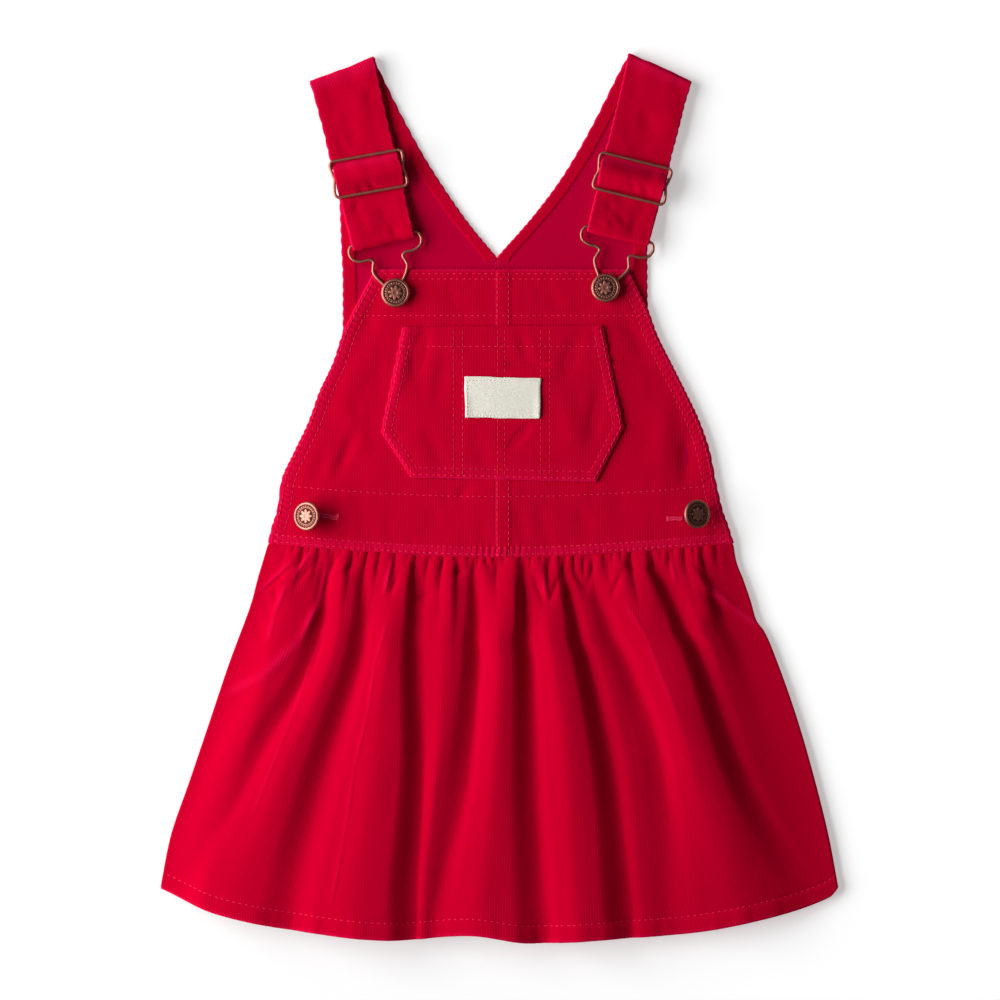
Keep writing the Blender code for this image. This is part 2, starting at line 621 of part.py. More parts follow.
# ---------------------------------------------------------------- the dress
def build():
    for obj in list(bpy.data.objects):
        bpy.data.objects.remove(obj, do_unlink=True)
    red = material("corduroy_red", (0.52, 0.0, 0.02), 0.85)
    cream = material("label_cream", (0.80, 0.78, 0.66), 0.8)
    copper = material("antique_copper", (0.36, 0.16, 0.10), 0.4, 1.0)
    skirt_back(red)
    skirt_front(red)
    for strap in STRAPS:
        back(strap, red)
        bib(f"bib_{strap.name}", strap.side, red)
        slider(strap, copper)
        hook(strap, copper)
    patch("pocket", POCKET, (6, 4), 13, pocket_floor, CLOTH, red)
    patch("label", LABEL, (3,), 6, label_floor, LABEL_CLOTH, cream)
    buttons(copper)


build()
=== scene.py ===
"""A child's corduroy pinafore dress, laid flat: its cloth, stitching, metal, light and camera.

Sizes are in millimetres on the pattern's own axes until the meshes are made: X across the
dress, Y up it and Z off the surface. Meshes are in metres, with Y moved down by MIDDLE_Y.
"""
from collections import namedtuple
import math

import bpy
from mathutils import Matrix, Vector
import numpy as np


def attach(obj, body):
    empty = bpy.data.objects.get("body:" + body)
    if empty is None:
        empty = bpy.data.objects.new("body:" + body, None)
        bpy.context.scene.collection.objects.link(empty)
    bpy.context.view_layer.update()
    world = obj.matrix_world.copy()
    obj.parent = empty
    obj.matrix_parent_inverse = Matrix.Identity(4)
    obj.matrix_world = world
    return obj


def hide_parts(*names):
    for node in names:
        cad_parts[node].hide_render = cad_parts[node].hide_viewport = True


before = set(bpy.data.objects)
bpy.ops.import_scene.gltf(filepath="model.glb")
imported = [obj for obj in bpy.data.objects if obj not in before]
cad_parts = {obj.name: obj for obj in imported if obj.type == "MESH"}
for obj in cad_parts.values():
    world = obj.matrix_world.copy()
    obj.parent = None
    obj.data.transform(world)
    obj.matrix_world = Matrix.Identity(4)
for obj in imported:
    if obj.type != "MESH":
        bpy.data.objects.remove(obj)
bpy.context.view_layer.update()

MM = 0.001
MIDDLE_Y = 1.56
SEED = 7

# ---------------------------------------------------------------- sizes shared with the solids
CLOTH = 1.6
LABEL_CLOTH = 1.0
GAP = 0.3
SEAM_GAP = 0.5
WIRE_RADIUS = 0.9

BIB_TOP = 134.5
BIB_SEAM_X = 1.8
BACK_SEAM_X = -1.5        # X of the centre-back seam, and how far up the V its shift runs out
BACK_SEAM_RUN = 50.0
NECK_POINT = 141.6
SEAM_SIDE_Y = -25.2
SEAM_DIP = 8.1
SEAM_HALF = 134.8
SEAM_POWER = 1.6
BIB_RISE = 1.8
BIB_ROUND = 25.0
SKIRT_ROUND = 16.0       # width of the rounded-off stretch along each side of the skirt
ROUND_SPREAD = (10.0, 44.0)                # how much wider it is lower down, left and right
GATHER_DROP = 0.6
HEM_RISE = 5.0
HEM_RISE_PACE = 1.3
BACK_INSET = 1.5
POCKET_PUFF = 0.6
HOOK_REACH = 32.3
SLIDER_HALF_WIDTH = 21.4
SLIDER_HALF_HEIGHT = 10.7
SLIDER_CORNER = 2.4
SLIDER_PINCH = 1.2
BUTTON_RADIUS = 8.5
SHANK_RADIUS = 3.0
WAIST_BUTTON_TILT = 26.0
WAIST_BUTTON_LIFT = 4.6


def table(kind, *rows):
    """Rows of numbers as named tuples of one kind."""
    return tuple(kind(*row) for row in rows)


Side = namedtuple("Side", "y left right")
BIB_SIDES = table(
    Side,
    (134.5, -72.2, 75.2),
    (124.0, -78.1, 80.6),
    (111.7, -84.8, 86.6),
    (97.7, -91.5, 91.8),
    (81.9, -96.8, 99.7),
    (64.4, -105.0, 108.5),
    (46.8, -111.4, 116.7),
    (29.3, -119.6, 122.6),
    (11.7, -127.2, 126.1),
    (-5.9, -129.8, 130.2),
    (-15.5, -132.8, 133.6),
    (-25.2, -135.0, 136.4),
)
SKIRT_SIDES = table(
    Side,
    (-25.2, -135.0, 136.4),
    (-35.1, -138.0, 138.1),
    (-46.8, -141.4, 142.5),
    (-58.5, -144.4, 146.5),
    (-70.2, -148.4, 150.0),
    (-77.0, -151.0, 154.8),
    (-93.6, -157.2, 161.8),
    (-128.7, -169.0, 174.1),
    (-163.8, -180.8, 184.2),
    (-198.9, -192.6, 192.8),
    (-227.0, -198.0, 198.0),
)
HemPoint = namedtuple("HemPoint", "across y")
HEM = table(
    HemPoint,
    (0.000, -227.0),
    (0.084, -241.2),
    (0.208, -251.3),
    (0.353, -256.4),
    (0.456, -253.6),
    (0.550, -258.3),
    (0.643, -256.3),
    (0.767, -253.1),
    (0.891, -244.3),
    (0.988, -232.0),
    (1.000, -227.0),
)
# Each fold's steep right flank: its place across the skirt and its drop, at four levels down.
Fold = namedtuple("Fold", "waist upper lower hem drop_waist drop_upper drop_lower drop_hem")
FOLDS = table(
    Fold,
    (0.125, 0.130, 0.075, 0.018, 2.2, 4.5, 3.5, 1.0),
    (0.205, 0.213, 0.184, 0.166, 2.6, 6.0, 6.0, 5.0),
    (0.312, 0.319, 0.344, 0.354, 2.6, 7.5, 8.5, 8.0),
    (0.439, 0.436, 0.421, 0.395, 2.6, 5.5, 5.0, 1.2),
    (0.540, 0.534, 0.530, 0.543, 3.2, 8.0, 7.5, 6.5),
    (0.629, 0.642, 0.663, 0.674, 2.6, 8.5, 8.5, 7.5),
    (0.672, 0.707, 0.743, 0.738, 1.2, 3.2, 2.8, 1.5),
    (0.821, 0.848, 0.871, 0.945, 3.2, 8.0, 8.5, 2.5),
    (0.925, 0.930, 0.947, 0.985, 2.2, 4.5, 2.0, 0.5),
)
FOLD_LEVELS = (0.04, 0.24, 0.56, 0.95)
FOLD_WIDTHS = (5.0, 10.0, 14.0, 19.0)      # of the steep flank
FOLD_CREST = (0.72, 0.60)                  # a crest's place between two flanks, left and right
FOLD_SHOULDER = 0.86                       # height left where the steep flank starts
SKIRT_SPREAD = 126.3                       # how much wider the hem is than the waist
Gather = namedtuple("Gather", "x length height")
GATHERS = table(
    Gather,
    (-128.4, 22, 1.4), (-117.9, 45, 1.8), (-107.9, 30, 1.8), (-100.3, 18, 1.4),
    (-89.2, 50, 2.2), (-79.9, 20, 1.6), (-72.8, 45, 1.6), (-65.8, 22, 1.6),
    (-52.4, 50, 2.4), (-44.2, 20, 1.5), (-37.1, 40, 1.8), (-27.2, 60, 2.2),
    (-19.0, 20, 1.6), (-7.3, 35, 2.3), (7.9, 60, 2.6), (24.3, 25, 2.4),
    (34.2, 40, 1.9), (41.2, 18, 1.4), (47.1, 20, 1.2), (51.8, 35, 1.2),
    (58.2, 20, 1.6), (71.1, 40, 2.4), (85.1, 50, 2.3), (95.6, 20, 1.8),
    (103.3, 25, 1.6), (114.4, 50, 1.9), (123.1, 20, 1.4), (130.2, 30, 1.1),
)
SKIRT_LENGTH = 222.0
GATHER_FALL = 0.40       # share of the way to the next gather that falls

Outer = namedtuple("Outer", "y left right")
BACK_OUTER = table(
    Outer,
    (-25.2, 132.6, 132.6), (-5.9, 128.2, 128.2), (11.7, 124.4, 124.0),
    (29.3, 117.8, 117.8), (46.8, 109.8, 109.8), (64.4, 103.2, 101.0),
    (81.9, 95.4, 92.5), (97.7, 91.2, 87.4), (125.8, 91.2, 86.0),
    (152.0, 92.2, 86.0), (172.0, 93.0, 87.0), (190.0, 94.5, 89.5),
    (206.0, 97.5, 94.0), (222.0, 102.5, 100.0), (243.9, 111.5, 111.0),
)
Edge = namedtuple("Edge", "y x")
NECK_EDGE = table(
    Edge,
    (141.6, 0.15), (166.1, 20.9), (194.2, 40.6), (222.3, 56.5), (252.0, 71.2),
)
BackRow = namedtuple("BackRow", "outer inner")
BACK_ROWS = table(
    BackRow,
    (11.7, 11.7), (46.8, 46.8), (81.9, 81.9), (97.7, 97.7),
    (120.0, 120.0), (139.0, 141.6), (150.0, 154.0), (161.0, 167.0),
    (173.0, 182.0), (186.0, 197.0), (200.0, 213.0), (214.0, 229.0),
    (229.0, 244.0),
)
Corner = namedtuple("Corner", "left_x left_y right_x right_y")
POCKET = table(
    Corner, (-56.5, 100.6, 60.3, 101.8), (-69.0, 39.8, 72.6, 42.4), (-51.6, 13.4, 56.5, 10.9),
)
LABEL = table(Corner, (-20.3, 72.1, 24.0, 70.9), (-19.8, 48.4, 23.4, 47.6))
Strap = namedtuple(
    "Strap",
    "name side button_x button_y lean length fold_tilt slider slider_tilt slider_in hook_tilt",
)
STRAPS = table(
    Strap,
    ("left", -1, -60.7, 121.1, 13.5, 132.0, 20.4, 60.6, 10.2, 0.9, 12.5),
    ("right", 1, 62.0, 124.0, 13.9, 130.6, 24.1, 64.9, 13.9, 0.2, 14.2),
)
STRAP_WIDTHS = ((0.0, 38.8), (14.0, 37.7), (45.0, 37.2), (61.0, 38.7), (77.0, 36.6), (104.0, 35.9))
HOOK_HALF = (
    (0.0, 32.3), (10.0, 32.3), (18.6, 32.3), (20.9, 30.6), (21.5, 27.6), (20.0, 24.2), (15.8, 22.3),
    (11.0, 22.2), (8.8, 20.6), (9.6, 17.6), (10.2, 14.4), (8.4, 10.2), (5.6, 6.0), (4.7, 2.6),
    (4.5, -0.6), (2.9, -3.6), (0.0, -4.8),
)
WAIST_BUTTONS = (("left", -109.9, -9.4, -1), ("right", 112.8, -8.2, 1))

FRONT_FLOOR = CLOTH + GAP
RETURN_RUN = FRONT_FLOOR + CLOTH / 2
LOOP_RADIUS = WIRE_RADIUS + GAP + CLOTH / 2
HOOK_HEIGHT = RETURN_RUN + LOOP_RADIUS
LOW_RUN = RETURN_RUN + CLOTH + GAP
SLIDER_HEIGHT = LOW_RUN + CLOTH / 2 + GAP + WIRE_RADIUS
HIGH_RUN = SLIDER_HEIGHT + LOOP_RADIUS + CLOTH + 2 * GAP
BIB_BUTTON_FLOOR = FRONT_FLOOR + CLOTH + GAP
HOOK_TOP = HOOK_HEIGHT + WIRE_RADIUS

# ---------------------------------------------------------------- sizes of the finish
WALE = 1.59                      # 16 wales to the inch
SKIRT_CUT = 440.0                # flat width of the front skirt, before it is gathered
STITCH_PITCH = 3.6
STITCH_LENGTH = 2.7
STITCH_RADIUS = 0.25
STITCH_SIDES = 6
WIRE_SIDES = 16
BUTTON_TURNS = 144
BAND = 7.6                       # turned band along the back's edges
BACK_GRAIN = 16.5                # lean of the back's wales, in degrees
HEM_DEPTH = 9.5                  # hem's stitching above its edge
EDGE_BULGE = 0.3                 # how far a cloth's edge is rounded, as a share of its thickness
LAP_LEFT, LAP_RIGHT = -2.2, 6.4  # felled centre-front seam
TOP_STITCH_Y = 129.3             # lower row of stitches along the bib's top
FACING_Y = 107.9                 # bottom of the facing behind the bib's top
POCKET_HEM_Y = 89.8              # stitches of the pocket's top hem
SLANT_PITCH = 3.1                # ribs that show through along the turned side edges
SEAM_PITCH = 3.6                 # and over the waist seam
ROPE_PITCH = 3.4                 # and along the strap's edges


# ---------------------------------------------------------------- curves and unevenness
def smooth(xs, ys, x):
    """A curve through the points, level wherever they turn, straight past their ends."""
    xs, ys, x = (np.asarray(v, float) for v in (xs, ys, x))
    step = np.diff(xs)
    slope = np.diff(ys) / step
    lean = np.zeros_like(ys)
    lean[0], lean[-1] = slope[0], slope[-1]
    product = slope[:-1] * slope[1:]
    same = product > 0
    lean[1:-1][same] = 2 * product[same] / (slope[:-1] + slope[1:])[same]
    i = np.clip(np.searchsorted(xs, x) - 1, 0, len(step) - 1)
    t = (x - xs[i]) / step[i]
    inside = np.clip(t, 0, 1)
    curve = (
        ys[i] * (1 + 2 * inside) * (1 - inside) ** 2
        + ys[i + 1] * inside ** 2 * (3 - 2 * inside)
        + step[i] * lean[i] * inside * (1 - inside) ** 2
        - step[i] * lean[i + 1] * inside ** 2 * (1 - inside)
    )
    return curve + (t - inside) * step[i] * np.where(t < 0, lean[i], lean[i + 1])


def along(table, key, value, x):
    """The curve of one column of a table over another."""
    rows = sorted(table, key=lambda row: getattr(row, key))
    return smooth([getattr(r, key) for r in rows], [getattr(r, value) for r in rows], x)


def ease(t):
    t = np.clip(t, 0.0, 1.0)
    return t * t * (3 - 2 * t)


def bell(off, width):
    """1 at no distance, dying away over about a width."""
    return np.exp(-(off / width) ** 2)


def unit(v):
    return v / np.linalg.norm(v, axis=-1, keepdims=True)


def noise(x, y, cell, seed):
    """Smooth unevenness between -1 and 1, with features about one cell across."""
    lattice = np.random.default_rng(SEED * 1000 + seed).uniform(-1, 1, (61, 61))
    u, v = np.asarray(x) / cell + 30, np.asarray(y) / cell + 30
    i, j = np.floor(u).astype(int), np.floor(v).astype(int)
    s, t = ease(u - i), ease(v - j)
    i, j = i % 60, j % 60
    return (
        (lattice[i, j] * (1 - s) + lattice[i + 1, j] * s) * (1 - t)
        + (lattice[i, j + 1] * (1 - s) + lattice[i + 1, j + 1] * s) * t
    )


def distance_to_line(x, y, points):
    """Distance in plan from each place to a broken line."""
    best = np.full(np.shape(x), 1e9)
    for (ax, ay), (bx, by) in zip(points, points[1:]):
        dx, dy = bx - ax, by - ay
        t = np.clip(((x - ax) * dx + (y - ay) * dy) / (dx * dx + dy * dy), 0, 1)
        best = np.minimum(best, np.hypot(x - ax - t * dx, y - ay - t * dy))
    return best


Crease = namedtuple("Crease", "x0 y0 x1 y1 width depth")


def creased(x, y, creases):
    """Soft troughs, or ridges where the depth is negative, that die out at both ends."""
    height = np.zeros(np.shape(x))
    for c in creases:
        dx, dy = c.x1 - c.x0, c.y1 - c.y0
        t = ((x - c.x0) * dx + (y - c.y0) * dy) / (dx * dx + dy * dy)
        length = math.hypot(dx, dy)
        beyond = np.maximum(0, np.abs(t - 0.5) - 0.5) * length
        off = ((x - c.x0) * dy - (y - c.y0) * dx) / length
        swell = np.clip(1 - (2 * np.abs(t - 0.5)) ** 2 * 0.7, 0.3, 1)
        height -= c.depth * swell * np.exp(-(off / c.width) ** 2 - (beyond / c.width) ** 2)
    return height


def seam_y(x):
    """Y of the waist seam, which dips towards the middle."""
    return SEAM_SIDE_Y - SEAM_DIP * (1 - np.clip(np.abs(x) / SEAM_HALF, 0, 1) ** SEAM_POWER)


# ---------------------------------------------------------------- meshes
def grid_faces(rows, columns, first=0, flip=False):
    index = np.arange(rows * columns).reshape(rows, columns) + first
    quads = np.stack([index[:-1, :-1], index[:-1, 1:], index[1:, 1:], index[1:, :-1]], axis=-1)
    quads = quads.reshape(-1, 4)
    return quads[:, ::-1] if flip else quads


def new_mesh(name, points, faces, finishes, slots=None, flat=None, marks=None):
    """A smooth object from millimetre points, riding on the dress."""
    mesh = bpy.data.meshes.new(name)
    placed = (np.asarray(points, float) - (0, MIDDLE_Y, 0)) * MM
    mesh.from_pydata(placed.tolist(), [], [list(map(int, f)) for f in faces])
    for finish in finishes:
        mesh.materials.append(finish)
    if slots is not None:
        mesh.polygons.foreach_set("material_index", np.asarray(slots, np.int32))
    corners = np.empty(len(mesh.loops), np.int32)
    mesh.loops.foreach_get("vertex_index", corners)
    if flat is not None:
        layer = mesh.uv_layers.new(name="Flat")
        layer.data.foreach_set("uv", (np.asarray(flat)[corners] * MM).ravel())
    for mark, values in (marks or {}).items():
        layer = mesh.attributes.new(mark, "FLOAT", "POINT")
        layer.data.foreach_set("value", np.asarray(values, np.float32))
    mesh.shade_smooth()
    mesh.validate()
    obj = bpy.data.objects.new(name, mesh)
    bpy.context.scene.collection.objects.link(obj)
    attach(obj, "root")
    return obj


def normals(grid, soften=0):
    n = np.cross(np.gradient(grid, axis=0), np.gradient(grid, axis=1))
    for _ in range(soften):
        n[:, 1:-1] = n[:, :-2] + n[:, 1:-1] + n[:, 2:]
    return unit(n)


def shell(name, top, bottom, flat, finishes, slot_of_top=None, mark=None):
    """A closed cloth wall between two grids, with rounded edges all round.

    Rows run down the cloth and columns across it. The finishes are the right side's and the
    wrong side's; slot_of_top may give each top face its own.
    """
    rows, columns = top.shape[:2]
    count = rows * columns
    index = np.arange(count).reshape(rows, columns)
    rim = np.concatenate([index[0], index[1:, -1], index[-1, -2::-1], index[-2:0:-1, 0]])
    inner = np.concatenate([index[1], index[1:, -2], index[-2, -2::-1], index[-2:0:-1, 1]])
    t, b, f = top.reshape(-1, 3), bottom.reshape(-1, 3), flat.reshape(-1, 2)
    middle = (t[rim] + b[rim]) / 2
    outward = middle - (t[inner] + b[inner]) / 2
    outward /= np.maximum(np.linalg.norm(outward, axis=1, keepdims=True), 1e-6)
    thick = np.linalg.norm(t[rim] - b[rim], axis=1, keepdims=True)
    edge = middle + outward * thick * EDGE_BULGE
    ring = np.arange(len(rim)) + 2 * count
    ahead = np.roll(np.arange(len(rim)), -1)
    front = grid_faces(rows, columns, flip=True)
    back = grid_faces(rows, columns, count)
    upper = np.stack([rim, rim[ahead], ring[ahead], ring], axis=1)
    lower = np.stack([ring, ring[ahead], rim[ahead] + count, rim + count], axis=1)
    faces = np.concatenate([front, back, upper, lower])
    slots = np.zeros(len(faces), np.int32)
    slots[len(front):len(front) + len(back)] = len(finishes) - 1
    if slot_of_top is not None:
        slots[:len(front)] = slot_of_top.ravel()
    marks = None
    if mark is not None:
        m = mark.ravel()
        marks = {"wear_and_highlight": np.concatenate([m, m, m[rim]])}
    points = np.concatenate([t, b, edge])
    made = new_mesh(name, points, faces, finishes, slots, np.concatenate([f, f, f[rim]]), marks)
    return faces_out(made)


def faces_out(obj):
    """Turns a closed mesh's faces outwards if its volume says that they face in."""
    mesh = obj.data
    mesh.calc_loop_triangles()
    co = np.empty(len(mesh.vertices) * 3)
    mesh.vertices.foreach_get("co", co)
    tri = np.empty(len(mesh.loop_triangles) * 3, np.int32)
    mesh.loop_triangles.foreach_get("vertices", tri)
    a, b, c = co.reshape(-1, 3)[tri.reshape(-1, 3)].transpose(1, 0, 2)
    if np.einsum("ij,ij->i", a, np.cross(b, c)).sum() < 0:
        mesh.flip_normals()
    return obj


def ring_faces(rings, sides, closed=False):
    """Quads between rings of points, with a cap on both ends where the rings don't close up."""
    faces = []
    for i in range(rings if closed else rings - 1):
        for k in range(sides):
            n, j = (k + 1) % sides, (i + 1) % rings
            faces.append((i * sides + k, i * sides + n, j * sides + n, j * sides + k))
    if not closed:
        faces.append(tuple(reversed(range(sides))))
        faces.append(tuple((rings - 1) * sides + k for k in range(sides)))
    return faces


def wire(name, path, radius, closed=True):
    """Round copper wire along a path."""
    if closed:
        ahead = np.roll(path, -1, axis=0) - np.roll(path, 1, axis=0)
    else:
        ahead = np.gradient(path, axis=0)
    ahead = unit(ahead)
    aside = unit(np.cross(ahead, (0.0, 0.0, 1.0)))
    over = np.cross(aside, ahead)
    a = 2 * math.pi * np.arange(WIRE_SIDES) / WIRE_SIDES
    around = np.cos(a)[None, :, None] * aside[:, None] + np.sin(a)[None, :, None] * over[:, None]
    points = (path[:, None] + radius * around).reshape(-1, 3)
    return faces_out(new_mesh(name, points, ring_faces(len(path), WIRE_SIDES, closed), [COPPER]))


def closed_curve(points, per_span):
    """A smooth closed curve through the points."""
    before, after, later = (np.roll(points, n, axis=0) for n in (1, -1, -2))
    made = []
    for a, b, c, d in zip(before, points, after, later):
        for t in np.arange(per_span) / per_span:
            made.append(0.5 * (
                2 * b + (c - a) * t + (2 * a - 5 * b + 4 * c - d) * t ** 2
                + (3 * b - a - 3 * c + d) * t ** 3
            ))
    return np.array(made)


# ---------------------------------------------------------------- materials
def nodes_of(name):
    made = bpy.data.materials.new(name)
    made.use_nodes = True
    tree = made.node_tree
    return made, tree, tree.nodes["Principled BSDF"]


def put(tree, value, socket):
    """Puts a number, a colour or another node's output into a socket."""
    if isinstance(value, tuple):
        socket.default_value = (*value, 1.0)
    elif isinstance(value, (int, float)):
        socket.default_value = value
    else:
        tree.links.new(value, socket)


def set_inputs(tree, shader, values):
    for name, value in values.items():
        put(tree, value, shader.inputs[name])


def math_node(tree, operation, *values):
    node = tree.nodes.new("ShaderNodeMath")
    node.operation = operation
    for value, socket in zip(values, node.inputs):
        put(tree, value, socket)
    return node.outputs[0]


def plus(tree, a, b):
    return math_node(tree, "ADD", a, b)


def times(tree, a, b):
    return math_node(tree, "MULTIPLY", a, b)


def object_place(tree):
    return tree.nodes.new("ShaderNodeTexCoord").outputs["Object"]


def noise_node(tree, scale, detail):
    node = tree.nodes.new("ShaderNodeTexNoise")
    put(tree, object_place(tree), node.inputs["Vector"])
    node.inputs["Scale"].default_value = scale
    node.inputs["Detail"].default_value = detail
    return node.outputs["Fac"]


def mix_colours(tree, factor, a, b):
    node = tree.nodes.new("ShaderNodeMix")
    node.data_type = "RGBA"
    for value, index in ((factor, 0), (a, 6), (b, 7)):
        put(tree, value, node.inputs[index])
    return node.outputs[2]


def mark_node(tree, name):
    node = tree.nodes.new("ShaderNodeAttribute")
    node.attribute_name = name
    return node.outputs["Fac"]


def relief_normal(tree, height):
    """The normal of a surface with this relief, in metres."""
    bump = tree.nodes.new("ShaderNodeBump")
    bump.inputs["Distance"].default_value = 1.0
    bump.inputs["Strength"].default_value = 1.0
    put(tree, height, bump.inputs["Height"])
    return bump.outputs[0]


def flat_place(tree):
    """Where a point lies on the uncut cloth: across it and along it, in metres."""
    uv = tree.nodes.new("ShaderNodeUVMap")
    uv.uv_map = "Flat"
    split = tree.nodes.new("ShaderNodeSeparateXYZ")
    put(tree, uv.outputs["UV"], split.inputs[0])
    return split.outputs[0], split.outputs[1]


def stripes(tree, place, pitch):
    """A sine wave over a place, with a full turn for each pitch in millimetres."""
    return math_node(tree, "SINE", times(tree, place, 2 * math.pi / (pitch * MM)))


def corduroy(name, ridge, groove, wear_and_highlight, wale_height, sheen, sheen_tint):
    """Cotton corduroy: rounded wales along V, a soft nap over them, painted shade in the grooves,
    and a paler colour for worn pile and painted highlight.
    """
    made, tree, shader = nodes_of(name)
    wander = times(tree, noise_node(tree, 90.0, 2.0), 0.5 * MM)
    rounded = stripes(tree, plus(tree, flat_place(tree)[0], wander), 2 * WALE)
    wale = math_node(tree, "POWER", math_node(tree, "ABSOLUTE", rounded), 0.7)
    nap = noise_node(tree, 2600.0, 2.0)
    pile = plus(tree, times(tree, wale, wale_height * MM), times(tree, nap, 0.12 * MM))
    # Darker colour in the grooves between the wales: painted shade on top of the bump's own. The nap
    # patches below pull towards that colour at random.
    shade = mix_colours(tree, wale, groove, ridge)
    brushed = times(tree, noise_node(tree, 38.0, 3.0), 0.30)
    shade = mix_colours(tree, brushed, shade, groove)
    # Paler where the mark is set, most on the wale tops: worn pile along edges and seams, and
    # painted highlight on crests, ribs and bends.
    tops = plus(tree, times(tree, wale, 1.4), 0.3)
    wear_and_highlight_share = times(tree, mark_node(tree, "wear_and_highlight"), times(tree, nap, tops))
    set_inputs(tree, shader, {
        "Base Color": mix_colours(tree, wear_and_highlight_share, shade, wear_and_highlight),
        "Normal": relief_normal(tree, pile),
        "Roughness": 0.95,
        "Diffuse Roughness": 1.0,
        "Specular IOR Level": 0.0,
        "Sheen Weight": sheen,
        "Sheen Roughness": 0.35,
        "Sheen Tint": sheen_tint,
    })
    return made


def thread(name, colour, twist):
    made, tree, shader = nodes_of(name)
    set_inputs(tree, shader, {
        "Base Color": mix_colours(tree, noise_node(tree, 1800.0, 2.0), colour, twist),
        "Roughness": 0.6,
        "Specular IOR Level": 0.25,
    })
    return made


def twill(name):
    """Plain cream tape with a fine diagonal weave."""
    made, tree, shader = nodes_of(name)
    across, down = flat_place(tree)
    rib = stripes(tree, plus(tree, across, down), 0.7)
    weave = plus(tree, times(tree, rib, 0.5), times(tree, stripes(tree, down, 0.45), 0.3))
    fibre = noise_node(tree, 900.0, 3.0)
    tone = plus(tree, times(tree, weave, 0.35), fibre)
    set_inputs(tree, shader, {
        "Base Color": mix_colours(tree, tone, (0.74, 0.70, 0.59), (0.86, 0.84, 0.77)),
        "Normal": relief_normal(tree, times(tree, plus(tree, weave, fibre), 0.08 * MM)),
        "Roughness": 0.85,
        "Sheen Weight": 0.15,
    })
    return made


def copper(name):
    """Brushed antique copper, dark where the relief is deep."""
    made, tree, shader = nodes_of(name)
    tarnish = noise_node(tree, 420.0, 4.0)
    fine = noise_node(tree, 3000.0, 3.0)
    deep = mark_node(tree, "recess")
    bright = mix_colours(tree, tarnish, (0.45, 0.180, 0.136), (0.30, 0.104, 0.080))
    rough = plus(tree, times(tree, fine, 0.2), 0.40)
    set_inputs(tree, shader, {
        "Base Color": mix_colours(tree, deep, bright, (0.035, 0.016, 0.013)),
        "Normal": relief_normal(tree, times(tree, fine, 0.03 * MM)),
        "Roughness": plus(tree, rough, times(tree, deep, 0.3)),
        "Metallic": 1.0,
    })
    return made


# In each corduroy the groove colour is a little darker than the ridge colour, as painted shade
# between the wales. The paler pink colour stands for worn pile and painted highlight alike.
RIGHT_SIDE = corduroy(
    "corduroy", ridge=(0.62, 0.0, 0.029), groove=(0.56, 0.0, 0.024), wear_and_highlight=(0.80, 0.006, 0.085),
    wale_height=0.075, sheen=0.25, sheen_tint=(1.0, 0.0, 0.16),
)
WRONG_SIDE = corduroy(
    "corduroy_inside", ridge=(0.57, 0.0, 0.043), groove=(0.52, 0.0, 0.036), wear_and_highlight=(0.76, 0.006, 0.08),
    wale_height=0.05, sheen=0.2, sheen_tint=(1.0, 0.0, 0.2),
)
THREAD = thread("thread", (0.76, 0.004, 0.066), (0.62, 0.001, 0.036))
DEEP_THREAD = thread("deep_thread", (0.68, 0.002, 0.046), (0.60, 0.001, 0.032))
# The buttonhole thread is paler than the other thread. In part this is painted light that lifts its
# lips out of the waist buttons' shadow.
LOOP_THREAD = thread("buttonhole_thread", (0.84, 0.03, 0.12), (0.74, 0.01, 0.08))
PALE_THREAD = thread("label_thread", (0.80, 0.78, 0.68), (0.66, 0.63, 0.52))
LABEL_TAPE = twill("label_tape")
COPPER = copper("antique_copper")


# ---------------------------------------------------------------- stitching
def surface_points(surface, places):
    """Points and upward normals of a surface at an array of its own places."""
    a, b = places[:, 0], places[:, 1]
    step = 0.02 if np.ptp(places) > 2 else 2e-4
    p = surface(a, b)
    n = unit(np.cross(surface(a + step, b) - p, surface(a, b + step) - p))
    return p, n * np.sign(n[:, 2:3] + 1e-9)


def seats(surface, places, pitch=STITCH_PITCH, seed=0):
    """Even seats along a line on a surface: middle, direction and normal of each stitch."""
    shares = np.linspace(0, 1, len(places))
    dense = np.stack([
        np.interp(np.linspace(0, 1, 900), shares, np.asarray(places)[:, k]) for k in (0, 1)
    ], axis=1)
    p, n = surface_points(surface, dense)
    run = np.concatenate([[0], np.cumsum(np.linalg.norm(np.diff(p, axis=0), axis=1))])
    count = max(1, int(run[-1] / pitch))
    rng = np.random.default_rng(SEED + seed)
    at = (np.arange(count) + 0.5 + rng.uniform(-0.06, 0.06, count)) * run[-1] / count

    def read(values, spots):
        return np.stack([np.interp(spots, run, values[:, k]) for k in range(3)], axis=1)

    way = unit(read(p, at + 0.8) - read(p, at - 0.8))
    way += rng.uniform(-0.05, 0.05, way.shape)
    return np.stack([read(p, at), way, read(n, at)], axis=1)


StitchRing = namedtuple("StitchRing", "along radius height")
STITCH_RINGS = table(
    StitchRing,
    (-0.5, 0.25, -0.9), (-0.36, 0.85, -0.1), (0.0, 1.0, 0.25), (0.36, 0.85, -0.1),
    (0.5, 0.25, -0.9),
)


